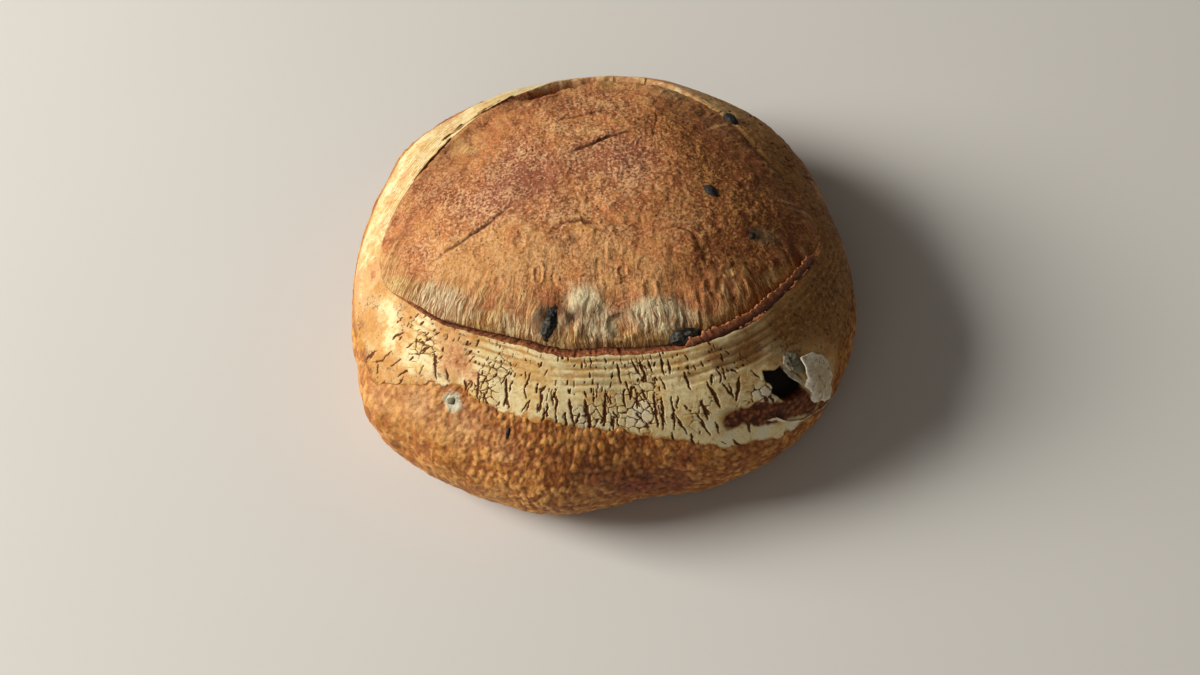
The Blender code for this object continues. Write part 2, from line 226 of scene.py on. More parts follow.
def smooth(value, low, high):
    """0 below low, 1 above high and soft between; low may be the larger."""
    u = np.clip((value - low) / (high - low), 0, 1)
    return u * u * (3 - 2 * u)


def blobs(points, places):
    """Soft round patches on the skin, as (degrees, reach, half width in millimetres, strength)."""
    total = 0.0
    for degrees, reach, width, strength in places:
        middle = crust(math.radians(degrees), reach * MM)
        gap = np.linalg.norm(points - middle, axis=-1) / (width * MM)
        total = total + strength * np.exp(-gap**2)
    return total


# Bulges and dents of the whole loaf, as blobs whose strength is in millimetres
SIDE_FORMS = (
    (214, -62, 16, 2.6), (226, -66, 10, -2.2), (262, -72, 22, 1.6), (148, -30, 18, 2.2),
    (239, -46, 9, -0.9), (300, -62, 14, 0.9), (196, -40, 12, 0.8),
)
# Darker and paler places in the lower crust, as blobs with a strength
SCORCHED = (
    (279, -62, 11, 1.1), (288, -70, 10, 0.9), (270, -50, 9, 0.7), (262, -44, 7, 0.6),
    (292, -52, 9, 0.6), (222, -72, 5, 1.0), (243, -37, 7, 0.5), (236, -33, 5, 0.6),
    (312, -70, 10, 0.5), (20, -70, 16, 0.8), (70, -66, 18, 0.7), (125, -70, 15, 0.9),
    (160, -60, 12, 0.6), (186, -64, 9, 0.5), (45, -58, 12, 0.6), (98, -56, 13, 0.7),
)
PALE_SPOTS = (
    (244, -58, 8, 0.8), (233, -60, 9, 0.5), (256, -78, 9, 0.6), (228, -45, 7, 0.5),
    (233, -36, 5, 0.8), (305, -78, 8, 0.5), (150, -72, 9, 0.5), (85, -74, 10, 0.5),
    (10, -60, 9, 0.4),
)
# Pinker, duller places at the left, and the pale veil of skin round the olive there
PINK_PLACES = (
    (226, -40, 10, 0.8), (238, -42, 9, 0.8), (216, -46, 9, 0.5), (250, -46, 8, 0.5),
    (206, -54, 8, 0.3),
)
VEILED = ((233.1, -32.2, 4.6, 1.25), (235.0, -34.5, 3.0, 0.5))
CELL_MM, FINE_CELL_MM = 2.9, 1.7
FOOT_PLATE_MM, FOOT_STEP_MM = 3.3, 2.6
# Radii at which patterns that run round the loaf are laid out
RING_RADIUS_MM, GIRTH_RADIUS_MM = 90, 110


def side_forms(points):
    """The unevenness that the lower crust and the floured crust share."""
    broad = 0.9 * waves(points, 24 * MM, 3) + 0.45 * waves(points, 11 * MM, 4)
    return (broad + blobs(points, SIDE_FORMS)) * MM


def settled(points):
    """0 where the loaf rests, so that the crust lies flat there, and 1 a little way up."""
    return smooth(points[..., 2], 0.5 * MM, 9 * MM)


def flour_foot(theta):
    """Where the floured crust's ragged lower edge runs, as a reach."""
    ring = np.stack([np.cos(theta), np.sin(theta), 0 * theta], axis=-1) * RING_RADIUS_MM * MM
    ragged = 1.1 * waves(ring, 7 * MM, 21) + 0.7 * waves(ring, 2.6 * MM, 22)
    along = (theta % (2 * math.pi)) * RING_RADIUS_MM / FOOT_PLATE_MM + 0.35 * waves(ring, 4 * MM, 23)
    plate = np.floor(along).astype(np.int64)
    own, following = (scatter(plate + k, 0, 0, 24) for k in (0, 1))
    broken = own + (following - own) * smooth(along - plate, 0.82, 1)
    degrees = np.degrees(theta) % 360
    at_front = smooth(degrees, 214, 224) * smooth(degrees, 338, 328)
    return -(by_degrees(theta, FLOUR_FOOT, 2) + ragged + FOOT_STEP_MM * (broken - 0.5) * at_front) * MM


def front_crowded(count):
    """Azimuths all round the loaf, closer together at the front."""
    fine = np.linspace(0, 2 * math.pi, 4096)
    spread = fine + FRONT_DENSITY * (np.sin(fine - 1.5 * math.pi) - math.sin(-1.5 * math.pi))
    return np.interp(np.arange(count) / count * 2 * math.pi, spread, fine)


def blistered(theta, reach):
    """Points of the blistered crust, with each point's bubble height, tone and scorching."""
    points = crust(theta, reach)
    degrees = np.degrees(theta) % 360
    flank = smooth(degrees + reach / MM * 0.5, 222, 196) * smooth(degrees, 170, 195)
    fine, tone = bubbles(points, CELL_MM * MM, 31)
    finer = bubbles(points, FINE_CELL_MM * MM, 41)[0]
    stretched = np.stack([theta * GIRTH_RADIUS_MM * MM, reach * 0.33, 0 * theta], axis=-1)
    wrinkle = 1 - np.abs(waves(stretched, 3.4 * MM, 51))
    crowd = smooth(rough(points, 13 * MM, 61), -0.7, 0.4)
    bubble = fine * (0.35 + 0.65 * tone)
    height = (0.85 * bubble + 0.35 * finer) * (0.5 + 0.5 * crowd) * (1 - 0.72 * flank)
    height = height + 0.5 * wrinkle * flank + 0.45 * waves(points, 5.5 * MM, 62)
    scorch = blobs(points, SCORCHED) - 0.8 * blobs(points, PALE_SPOTS)
    lift = (height * MM + side_forms(points)) * settled(points)
    shown = (bubble * 0.7 + finer * 0.3) * (1 - 0.65 * flank) + (0.22 + 0.22 * wrinkle) * flank
    return crust(theta, reach, lift), shown, tone, scorch - 0.25 * flank


def note(piece, name, values):
    """Keeps a number for each point, for the material to read."""
    layer = piece.data.attributes.new(name, "FLOAT", "POINT")
    layer.data.foreach_set("value", np.asarray(values, np.float32).ravel())


def closed(piece):
    """Merges points that lie on each other."""
    bpy.ops.object.mode_set(mode="EDIT")
    bpy.ops.mesh.select_all(action="SELECT")
    bpy.ops.mesh.remove_doubles(threshold=0.001 * MM)
    bpy.ops.object.mode_set(mode="OBJECT")


def made(piece, name):
    """Names a finished piece, shades it smooth and leaves nothing selected."""
    piece.name = name
    piece.data.name = name
    piece.data.update()
    bpy.context.view_layer.objects.active = piece
    piece.select_set(True)
    bpy.ops.object.shade_smooth()
    bpy.ops.object.select_all(action="DESELECT")
    return piece


def rolled(name, rings, notes):
    """A fine grid laid through closed rings of points, the lowest first. Its seam, and any ring
    shrunk to a point or laid on another, is merged; notes are numbers kept for the material."""
    rings = np.asarray(rings)
    count, columns = rings.shape[:2]
    bpy.ops.object.select_all(action="DESELECT")
    bpy.ops.mesh.primitive_grid_add(x_subdivisions=columns, y_subdivisions=count - 1, size=2)
    piece = bpy.context.object
    flat = np.empty(len(piece.data.vertices) * 3)
    piece.data.vertices.foreach_get("co", flat)
    column = np.rint((flat[0::3] + 1) / 2 * columns).astype(int) % columns
    ring = np.rint((flat[1::3] + 1) / 2 * (count - 1)).astype(int)
    piece.data.vertices.foreach_set("co", rings[ring, column].ravel())
    for key, values in notes.items():
        note(piece, key, np.asarray(values)[ring, column])
    closed(piece)
    return made(piece, name)


LOWER_COLUMNS, BASE_RINGS, SIDE_RINGS = 960, 16, 80
# How this crust goes on, hidden under the floured one: millimetres further up and over the skin
HIDDEN_TOP = ((1.2, -0.5), (2.2, -1.6), (2.2, -6.0))
HIDDEN_POLE_MM = 30
theta = front_crowded(LOWER_COLUMNS)
side = -around(theta, side_length)
base_radius = np.linalg.norm(crust(theta, side)[:, :2] - (POLE_X, POLE_Y), axis=1)
foot = flour_foot(theta)
reaches = [side - base_radius * (1 - k / BASE_RINGS) ** 0.8 for k in range(BASE_RINGS)]
reaches += [side + (foot - side) * k / SIDE_RINGS for k in range(SIDE_RINGS + 1)]
rows, heights, tones, scorches = (list(found) for found in zip(*(blistered(theta, r) for r in reaches)))
root = side_forms(crust(theta, foot))
for ahead, sink in HIDDEN_TOP:
    rows.append(crust(theta, foot + ahead * MM, root + sink * MM))
rows.append(np.tile((POLE_X, POLE_Y, HIDDEN_POLE_MM * MM), (LOWER_COLUMNS, 1)))
for numbers in (heights, tones, scorches):
    numbers += [numbers[-1]] * (len(rows) - len(numbers))
skins = np.array(rows)
lower = rolled("lower_crust", rows, {
    "bubble": heights, "tone": tones, "scorch": scorches,
    "pink": np.clip(blobs(skins, PINK_PLACES), 0, 0.85), "veil": blobs(skins, VEILED),
})


class Stuff:
    """A value in a material's node tree. Sums and products of it add the nodes that work them out."""

    def __init__(self, tree, socket):
        self.tree = tree
        self.socket = socket

    def node(self, kind, settings, inputs, output=0):
        """Adds a node of any kind, sets it up, feeds its sockets and gives one of its outputs."""
        made_node = self.tree.nodes.new("ShaderNode" + kind)
        for key, value in settings.items():
            setattr(made_node, key, value)
        for key, value in inputs.items():
            if isinstance(value, Stuff):
                self.tree.links.new(value.socket, made_node.inputs[key])
            else:
                made_node.inputs[key].default_value = value
        return Stuff(self.tree, made_node.outputs[output])

    def sum(self, operation, first, second):
        """Works out two values with one Math node."""
        return self.node("Math", {"operation": operation}, {0: first, 1: second})

    def __add__(self, other):
        return self.sum("ADD", self, other)

    def __radd__(self, other):
        return self.sum("ADD", other, self)

    def __sub__(self, other):
        return self.sum("SUBTRACT", self, other)

    def __rsub__(self, other):
        return self.sum("SUBTRACT", other, self)

    def __mul__(self, other):
        return self.sum("MULTIPLY", self, other)

    def __rmul__(self, other):
        return self.sum("MULTIPLY", other, self)

    def clear(self, low, high):
        """Stretches low..high to 0..1 and stops there; low may be the larger."""
        inputs = {"Value": self, "From Min": low, "From Max": high}
        return self.node("MapRange", {"interpolation_type": "SMOOTHSTEP"}, inputs)

    def noise(self, scale, detail=3.0, roughness=0.55):
        """Cloudy unevenness around 0.5, at this many per metre."""
        inputs = {"Vector": self, "Scale": scale, "Detail": detail, "Roughness": roughness}
        return self.node("TexNoise", {}, inputs, "Fac")

    def cells(self, scale):
        """How far it is to the middle of the nearest of crowded cells, at this many per metre."""
        return self.node("TexVoronoi", {}, {"Vector": self, "Scale": scale}, "Distance")

    def blend(self, first, second):
        """The first colour where the value is 0 and the second where it is 1."""
        inputs = {"Factor": self, 6: first, 7: second}
        return self.node("Mix", {"data_type": "RGBA"}, inputs, 2)

    def stain(self, colour, other):
        """Multiplies a colour by another where the value is 1."""
        inputs = {"Factor": self, 6: colour, 7: other}
        return self.node("Mix", {"data_type": "RGBA", "blend_type": "MULTIPLY"}, inputs, 2)


def colour(red, green, blue):
    """A colour as it looks on a screen, from 0 to 255, made linear."""
    parts = [part / 255 for part in (red, green, blue)]
    return tuple(((p + 0.055) / 1.055) ** 2.4 if p > 0.04045 else p / 12.92 for p in parts) + (1.0,)


class Finish:
    """A new material on a piece, with its coordinates and noted numbers at hand."""

    def __init__(self, piece, name):
        self.material = bpy.data.materials.new(name)
        self.material.use_nodes = True
        self.tree = self.material.node_tree
        self.shader = self.tree.nodes["Principled BSDF"]
        piece.data.materials.clear()
        piece.data.materials.append(self.material)
        self.start = Stuff(self.tree, None)
        self.place = self.start.node("TexCoord", {}, {}, "Object")

    def noted(self, name):
        """A number that the piece keeps for each of its points."""
        return self.start.node("Attribute", {"attribute_name": name}, {}, "Fac")

    def feed(self, key, value):
        """Gives a value to one of the shader's own sockets."""
        if isinstance(value, Stuff):
            self.tree.links.new(value.socket, self.shader.inputs[key])
        else:
            self.shader.inputs[key].default_value = value

    def bump(self, height, distance, strength):
        """Unevenness too fine for the mesh; distance is how deep it is, in metres."""
        inputs = {"Height": height, "Distance": distance, "Strength": strength}
        self.feed("Normal", self.start.node("Bump", {}, inputs, "Normal"))


GOLDEN, PALE_GOLD = colour(196, 124, 44), colour(228, 168, 90)
RED_BROWN, DARK_BROWN = colour(132, 66, 20), colour(52, 18, 4)
AMBER, DARK_TOP = colour(206, 136, 40), colour(166, 84, 34)
PINK_HOLLOW, PINK_TOP = colour(168, 104, 60), colour(226, 178, 122)
VEIL_GREY, CRUST_GRAIN = colour(206, 200, 172), colour(184, 140, 84)
finish = Finish(lower, "blistered_crust")
spot = finish.place
bubble, tone, scorch = finish.noted("bubble"), finish.noted("tone"), finish.noted("scorch")
cloud = spot.noise(70, 4, 0.6)
mottle = spot.noise(420, 4, 0.65)
grain = spot.noise(1500, 3, 0.6)
uneven = (0.5 - spot.cells(460)) * 0.2 + (mottle - 0.5) * 0.8 + (cloud - 0.5) * 0.9
tops = (bubble + uneven).clear(-0.1, 0.8)
burn = (scorch + (cloud - 0.5) * 2.2 + (mottle - 0.5) * 0.7 + (tone - 0.5) * 0.25).clear(-0.05, 1.15)
# The bubble tops take the lighter golden colours and the hollows between them the darker red browns: partly
# the crust's own tones, partly painted highlight on the tops and painted shade in the hollows
light = burn.blend((cloud + (tone - 0.5) * 0.6).clear(0.3, 0.7).blend(GOLDEN, PALE_GOLD), DARK_TOP)
dark = burn.blend(RED_BROWN, DARK_BROWN)
skin = tops.blend(dark, light)
# Amber on some bubble tops, and pink tops over pink hollows: partly the crust's tones, partly painted
# highlight on the tops and painted shade in the hollows
skin = (spot.noise(120, 2, 0.5).clear(0.57, 0.7) * tops * 0.7).blend(skin, AMBER)
skin = (finish.noted("pink") * (1 - burn * 0.5)).blend(skin, tops.blend(PINK_HOLLOW, PINK_TOP))
veil = (finish.noted("veil") + (mottle - 0.5) * 1.6 + (spot.noise(700, 3) - 0.5) * 1.4).clear(0.35, 1.0)
skin = veil.blend(skin, VEIL_GREY)
skin = (grain.clear(0.35, 0.75) * 0.3).stain(skin, CRUST_GRAIN)
finish.feed("Base Color", skin)
finish.feed("Roughness", 0.62 - tops * 0.12 + grain * 0.1)
finish.feed("Specular IOR Level", 0.35)
finish.bump(tops + grain * 0.5 + mottle * 0.5 + spot.noise(4200, 2) * 0.25, 0.0006, 0.8)
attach(lower, "root")
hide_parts("loaf")


# The floured crust
# The smooth skin of the loaf's shoulder, dusted with flour before it was slashed. It ends at the
# slash in a torn, baked edge that curls up over the gully; on its right it burst beside an olive.

# Height of the edge and depth of the gully behind it, as (degrees, millimetres)
LIP_RISE = (
    (0, 0), (20, 0.1), (50, 0.2), (80, 1.6), (105, 3.0), (150, 2.6), (172, 1.0), (183, 0.1),
    (198, 0.1), (212, 0.7), (225, 1.5), (260, 1.9), (300, 2.0), (322, 2.8), (342, 2.2), (352, 0.8),
)
GULLY_DEPTH = (
    (0, 0.1), (20, 0.1), (50, 0.1), (66, 0.5), (76, 1.2), (86, 2.2), (97, 3.6), (106, 3.0),
    (114, 0.6), (119, -1.6), (126, -2.2), (150, -2.1), (160, -1.7), (168, -1.0), (176, -0.3),
    (200, 0.0), (210, 1.0), (225, 3.2), (260, 4.8), (300, 5.2), (322, 5.6), (342, 3.8), (352, 1.2),
)
# Width of the torn face that runs down from the edge into the gully, as (degrees, millimetres)
FACE_WIDTH = (
    (0, 1.2), (20, 1.2), (55, 1.2), (80, 1.6), (100, 2.0), (116, 0.7), (150, 0.5), (170, 0.4),
    (183, 0.3), (198, 0.4), (208, 1.2), (218, 2.2), (232, 4.0), (270, 5.0), (292, 4.2), (305, 3.6),
    (325, 3.6), (342, 2.8), (352, 1.3),
)
# How far the torn face is toasted red brown rather than floury, as (degrees, share)
FACE_TOAST = (
    (0, 0.05), (55, 0.05), (72, 0.12), (100, 0.3), (114, 0.3), (160, 0.3), (183, 0.1), (198, 0.2),
    (208, 0.7), (222, 1), (345, 1), (353, 0.3),
)
# How brown the crust is baked under thin flour, and on the right also painted shade on the side away from
# the light, as (degrees, share)
BAKED_AND_SHADED = (
    (0, 1.3), (20, 1.15), (45, 0.8), (62, 0.55), (100, 0.3), (125, 0.1), (165, 0.15), (180, 0.45),
    (196, 0.75), (206, 0.75), (222, 0.6), (232, 0.55), (240, 0.25), (262, 0.2), (300, 0.1), (318, 0.1),
    (326, 0.4), (336, 0.7), (346, 1.1),
)
# Patches in the flour, as (degrees, reach and half width in millimetres, strength)
GOLDEN_PATCHES = (
    (248, -6, 6, 0.9), (256, -8, 6, 0.9), (241, -5, 4, 0.5), (250, -13, 6, 0.55),
    (258, -15, 5, 0.4), (249, -31, 5, 0.8), (243, -29, 3, 0.6), (271, -17.5, 4, 0.9),
    (276, -17, 4, 0.8), (290, -15, 5, 0.35), (193, -14, 6, 0.5), (204, -26, 7, 0.6),
    (209, -33, 6, 0.5), (199, -22, 6, 0.4), (212, -8, 4, 0.4), (217, -27, 4, 0.6),
    (300, -10, 6, 0.35), (297, -32, 4, 0.5), (306, -30, 4, 0.5), (150, -14, 6, 0.7),
    (128, -12, 7, 0.5), (108, -16, 6, 0.6), (70, -18, 9, 0.6), (85, -30, 8, 0.7), (40, -26, 9, 0.7),
    (165, -24, 7, 0.8), (178, -12, 6, 0.7),
)
TOASTED_PATCHES = (
    (226, -9, 5.5, 0.75), (231, -15, 5, 0.95), (227, -18, 4, 0.6), (221, -5, 4, 0.35),
    (236, -19, 3.5, 0.8), (187, -6, 5, 1.0), (191, -16, 4, 0.7), (184, -20, 7, 0.8),
    (189, -30, 7, 0.9), (175, -32, 8, 0.8), (5, -30, 9, 0.5), (22, -32, 9, 0.5), (350, -46, 7, 0.4),
    (60, -34, 10, 0.6), (166, -9, 3, 0.7), (150, -7, 3, 0.5), (139, -11, 4, 0.6),
    (158, -15, 4, 0.7), (128, -8, 3, 0.5), (173, -5, 3, 0.6), (104, -32, 10, 0.8),
    (135, -28, 9, 0.6), (155, -28, 7, 0.5), (340, -54, 6, 0.5), (200, -12, 4, 0.5),
    (197, -36, 6, 0.8), (205, -38, 5, 0.7), (62, -2, 7, 0.8), (72, -4, 8, 1.0), (83, -4, 8, 1.0),
    (94, -3, 8, 0.9), (104, -2, 6, 0.6),
)
GREYISH_PATCHES = (
    (330, -10, 14, 0.9), (342, -20, 18, 1.0), (318, -9, 9, 0.9), (355, -16, 16, 0.9), (309, -7, 7, 0.7),
    (301, -14, 6, 0.4), (262, -9, 5, 0.3), (12, -14, 16, 0.8), (30, -12, 14, 0.7), (45, -10, 9, 0.5),
    (249, -28, 3, 0.4), (310, -17, 5, 0.5), (305, -36, 5, 0.7), (0, -30, 16, 0.6),
)
# Where the skin burst and the crust below lies bare and blistered
BARE_PATCHES = (
    (307, -37, 5.0, 1.0), (311, -40, 5.0, 1.2), (314.5, -43, 5.0, 1.3), (313, -37, 3.5, 0.8),
    (318, -46, 5.5, 1.3), (321.5, -48, 5.0, 1.3), (324, -53, 4.5, 1.3), (327, -58, 4.0, 0.9),
    (304, -39, 4.0, 0.7), (319.5, -42, 3.5, 1.0), (322.5, -42, 3.5, 1.2),
)
# Whiter plates round the burst and below it; the two at the front middle, at 284 and 268 degrees, are
# painted light on the front face
WHITE_PLATES_AND_LIGHT = (
    (316, -33, 5, 1.2), (313.5, -29, 3, 0.6), (311, -50, 6, 0.9), (318, -56, 5, 0.9),
    (303, -46, 6, 0.7), (300, -36, 5, 0.6), (284, -26, 9, 0.7), (268, -27, 8, 0.6),
    (238, -21, 5, 0.4),
)
# Where an olive shimmers through the skin
OLIVE_VEILS = ((325.6, -28.5, 4.2, 1.3), (327, -33, 3, 0.8), (236, -33, 3.5, 0.7))
# Patches of flour broken into small plates by fine cracks
FINE_PLATES = (
    (218, -13, 6, 1.3), (284, -23, 9, 1.5), (270, -25, 8, 0.7), (240, -22, 8, 1.2), (243, -9, 5, 0.8),
    (316, -31, 7, 1.4), (298, -29, 8, 0.8), (256, -22, 6, 0.5), (286, -6, 6, 1.0), (262, -4, 5, 0.6),
    (60, -16, 12, 0.9), (96, -20, 10, 0.9), (140, -14, 9, 0.8), (80, -28, 9, 0.8), (120, -24, 8, 0.7),
    (30, -30, 9, 0.6), (157, -18, 7, 0.8),
)
# The main cracks at the front, as (degrees at the upper end, degrees that it leans, reach of the
# upper and of the lower end, width)
MAIN_CRACKS = (
    (222, 5, -14, -25, 1.6), (227, 3, -18, -24, 1.2), (234, 2, -21, -27, 1.3),
    (237, 2.5, -17, -28, 1.7), (240, 3, -24, -29, 1.3), (245, 2.5, -15, -26.5, 2.0),
    (251, 1.5, -17, -21, 0.9), (256, 1, -16, -24, 1.0), (261, 0, -17, -28, 1.0),
    (264.5, 1.5, -18, -29.5, 1.6), (269, 1.5, -18.5, -33, 2.6), (275, -1, -16, -31, 2.0),
    (280, 0, -3.5, -12.5, 1.2), (285, 1.5, -1.5, -9, 1.5), (287.5, 0.5, -2, -12, 1.6),
    (290.5, 0, -2, -8, 1.3), (294.5, -1, -2, -10, 1.3), (296.5, -1, -3, -10, 1.4),
    (289, -1.5, -17, -33.5, 1.6), (291, -2.5, -19, -35, 1.4), (293.5, -2, -19.5, -35.5, 1.4),
    (299.5, -0.5, -10, -18.5, 1.4), (300.5, -0.5, -24, -34, 1.6), (304, 0, -17, -30, 2.0),
    (309.5, -1, -12.5, -18.5, 1.1), (312, -4, -19.5, -30, 1.8),
)
# The burst beside the olive, as an outline in (degrees, reach in millimetres)
HOLE = (
    (317.9, -21.4), (320.4, -23.8), (323.0, -24.6), (323.9, -30.5), (325.2, -34.8), (324.6, -41.0),
    (321.0, -42.0), (318.4, -40.0), (317.4, -35.8), (316.4, -33.4), (317.8, -30.0), (317.2, -26.0),
)
# Patches where the flour lies thick and white on the left, over the browner crust
THICK_FLOUR = (
    (218, -13, 5, 0.8), (217, -21, 5, 0.8), (213, -6, 5, 0.6), (222, -17, 4, 0.6),
    (238, -9, 5, 0.8), (208, -20, 6, 0.6), (200, -8, 7, 0.5), (240, -19, 5.5, 0.9),
    (240, -27, 4.5, 0.8), (205, -14, 4, 0.3),
)
# Darker places, most of them on the right, where the oven baked the crust hardest; on the right they also
# paint the shade of the side away from the light
HARD_BAKED_AND_SHADED = (
    (350, -38, 14, 1.2), (338, -56, 10, 1.1), (6, -36, 13, 0.9), (344, -24, 10, 0.5),
    (196, -30, 6, 0.5), (186, -26, 7, 0.4), (204, -40, 5, 0.5), (24, -34, 11, 0.5),
)
# Slight swellings round the burst, and the one plate there that stays cracked
PUFFED = ((319, -24, 5, 0.6), (325.5, -28.5, 4.2, 2.0), (331, -44, 7, 1.0), (314, -33, 4, 0.4))
CRACKED_PLATE = ((315.5, -32, 5, 1.2),)
# The hidden wall behind the face: millimetres past the edge and over the gully's floor
HIDDEN_WALL = ((4.6, -3.0), (3.6, -9.0))
# The hidden wall under the flour: share of the way to the foot and millimetres over the skin
HIDDEN_UNDERSIDE = ((0.15, -11.0), (0.6, -10.0), (0.97, -4.0))
# A crack's width as a share of its listed one, and the depths of the cracks and of the hole
CRACK_WIDTH, CRACK_DEPTH_MM, HOLE_DEPTH_MM = 0.62, 0.62, 6
# Spacing of the ridges, radius at which the cracks are laid out flat, and thickness of the flour
RIDGE_MM, FLAT_RADIUS_MM, SKIN_MM = 3.5, 80, 0.3
# Sizes of the small plates and of the blisters under thin flour
PLATE_MM, FINE_BLISTER_MM = 3.6, 2.4
# Ridges with dashes on them, the share of dashes kept, and upright cracks for each degree
CRACKED_RIDGES, DASH_SHARE, UPRIGHTS_PER_DEGREE = 5, 0.55, 1.7
# Rows of points down the torn face
FACE_RINGS = 14
# Degrees at which the front stretch begins and ends, at the middle of its cracks, and by which the
# rear stretch overlaps it at each end
FRONT_FROM, FRONT_TO, FRONT_MIDDLE, OVERLAP = 202, 338, 265, 1.5


def lip_numbers(theta):
    """Rise, depth and face width at the slash's edge, in metres."""
    return tuple(by_degrees(theta, table) * MM for table in (LIP_RISE, GULLY_DEPTH, FACE_WIDTH))


def from_front(theta):
    """Degrees from the middle of the cracked front."""
    return np.abs((np.degrees(theta) - FRONT_MIDDLE + 180) % 360 - 180)


def ring_spots(theta, reach):
    """Coordinates for patterns that run along and across the edge."""
    radius = RING_RADIUS_MM * MM
    return np.stack([np.cos(theta) * radius, np.sin(theta) * radius, reach + 0 * theta], axis=-1)


def flattened(theta, reach):
    """Millimetres along and across the edge, wandering as a crack does."""
    x = np.unwrap(theta, axis=-1) * FLAT_RADIUS_MM
    spots = ring_spots(theta, reach)
    wander = [0.42 * waves(spots, 2.4 * MM, seed) + 0.26 * waves(spots, 0.9 * MM, seed + 1)
              for seed in (141, 143)]
    return x + wander[0], reach / MM + wander[1]


def to_segment(x, y, start, end):
    """The share of the way along a straight line that a flat point is nearest to, and its gap."""
    wide, tall = end[0] - start[0], end[1] - start[1]
    x, y = x - start[0], y - start[1]
    along = np.clip((x * wide + y * tall) / (wide * wide + tall * tall), 0, 1)
    return along, np.hypot(x - along * wide, y - along * tall)


def outline_distance(theta, reach, outline):
    """How far a point lies inside an outline on the skin, below 0 outside it."""
    middle = np.mean(outline, axis=0)
    scale = np.linalg.norm(crust(math.radians(middle[0]), middle[1] * MM)[:2] - (POLE_X, POLE_Y))
    turn = (np.degrees(theta) - middle[0] + 180) % 360 - 180
    x = turn * math.radians(1) * scale
    y = reach - middle[1] * MM
    corners = [((degrees - middle[0]) * math.radians(1) * scale, (level - middle[1]) * MM)
               for degrees, level in outline]
    inside = np.zeros(np.shape(x), bool)
    nearest = np.full(np.shape(x), FAR)
    for (ax, ay), (bx, by) in zip(corners, corners[1:] + corners[:1]):
        nearest = np.minimum(nearest, to_segment(x, y, (ax, ay), (bx, by))[1])
        if ay != by:
            crosses = (ay > y) != (by > y)
            inside ^= crosses & (x < (bx - ax) * (y - ay) / (by - ay) + ax)
    return np.where(inside, nearest, -nearest)


def cell_edges(x, y, size, seed):
    """How near a flat point is to the border between two crowded cells, in millimetres, and a
    random tone for each cell."""
    spot_x, spot_y = x / size, y / size
    cell_x, cell_y = np.floor(spot_x).astype(np.int64), np.floor(spot_y).astype(np.int64)
    first, second = np.full(x.shape, FAR), np.full(x.shape, FAR)
    tone = np.zeros(x.shape)
    for corner in range(25):
        own_x, own_y = cell_x + corner % 5 - 2, cell_y + corner // 5 - 2
        middle_x = own_x + scatter(own_x, own_y, 0, seed)
        middle_y = own_y + scatter(own_x, own_y, 1, seed)
        gap = np.hypot(middle_x - spot_x, middle_y - spot_y)
        tone = np.where(gap < first, scatter(own_x, own_y, 2, seed), tone)
        second = np.minimum(second, np.maximum(gap, first))
        first = np.minimum(first, gap)
    return (second - first) * size / 2, tone


def band_tones(theta, reach):
    """How golden, toasted and greyish the flour is."""
    points = crust(theta, reach)
    kinds = ((GOLDEN_PATCHES, 7, 71), (TOASTED_PATCHES, 4, 72), (GREYISH_PATCHES, 9, 73))
    return [np.clip(blobs(points, patches) + 0.3 * rough(points, size * MM, seed), 0, 1)
            for patches, size, seed in kinds]


def band_ridges(theta, reach):
    """The low ridges that run beside the edge, from -1 to 1, fading out further down."""
    spots = ring_spots(theta, reach)
    level = reach + (0.7 * waves(spots, 14 * MM, 91) + 0.3 * waves(spots, 5 * MM, 92)) * MM
    degrees = np.degrees(theta) % 360
    back_left = smooth(degrees, 108, 118) * smooth(degrees, 178, 168)
    near = smooth(reach, -22 * MM, -12 * MM) * np.maximum(smooth(degrees, 196, 222), back_left)
    fading = 0.55 + 0.45 * waves(spots, 17 * MM, 93)
    spacing = RIDGE_MM * MM * (1 - 0.35 * back_left)
    return np.cos(level / spacing * 2 * math.pi) * near * np.clip(fading, 0.1, 1)


def band_relief(theta, reach, points):
    """Height of the floured crust over the smooth form, and how far it lies in the burst hole."""
    rise, depth, width = lip_numbers(theta)
    threads = waves(ring_spots(theta, reach * 8), 5 * MM, 94) * smooth(reach, -20 * MM, -8 * MM)
    texture = 0.3 * band_ridges(theta, reach) + 0.10 * threads + 0.14 * rough(points, 3 * MM, 95)
    rising = 0.45 * smooth(reach, -14 * MM, -6 * MM) + 0.55 * smooth(reach, -6 * MM, -0.6 * MM)
    height = side_forms(points) + texture * MM + rise * rising
    ragged = rough(points, 2.6 * MM, 96) * MM
    hole = smooth(outline_distance(theta, reach, HOLE) + ragged, -0.35 * MM, 0.7 * MM)
    return height + (blobs(points, PUFFED) - hole * HOLE_DEPTH_MM) * MM, hole


def strewn_cracks(first, last, seed):
    """Small cracks between two azimuths: dashes on the ridges, and upright ones further down."""
    chance = random.Random(seed)
    found = []
    for ridge in range(CRACKED_RIDGES):
        degrees = first
        while degrees < last:
            tall = chance.uniform(0.7, 3.4)
            level = -RIDGE_MM * (ridge + 0.15) - chance.uniform(-0.5, 1.9)
            if chance.random() < DASH_SHARE:
                lean, wide = chance.uniform(-0.5, 0.5), chance.uniform(0.4, 1.3)
                found.append((degrees, lean, level + tall / 2, level - tall / 2, wide))
            degrees += chance.uniform(0.5, 3.4)
    for k in range(round((last - first) * UPRIGHTS_PER_DEGREE)):
        tall = chance.uniform(2.0, 8.0)
        level = chance.uniform(-52, -13)
        degrees, lean = chance.uniform(first, last), chance.uniform(-1.5, 1.5)
        wide = chance.uniform(0.4, 1.4)
        found.append((degrees, lean, level + tall / 2, level - tall / 2, wide))
    return found


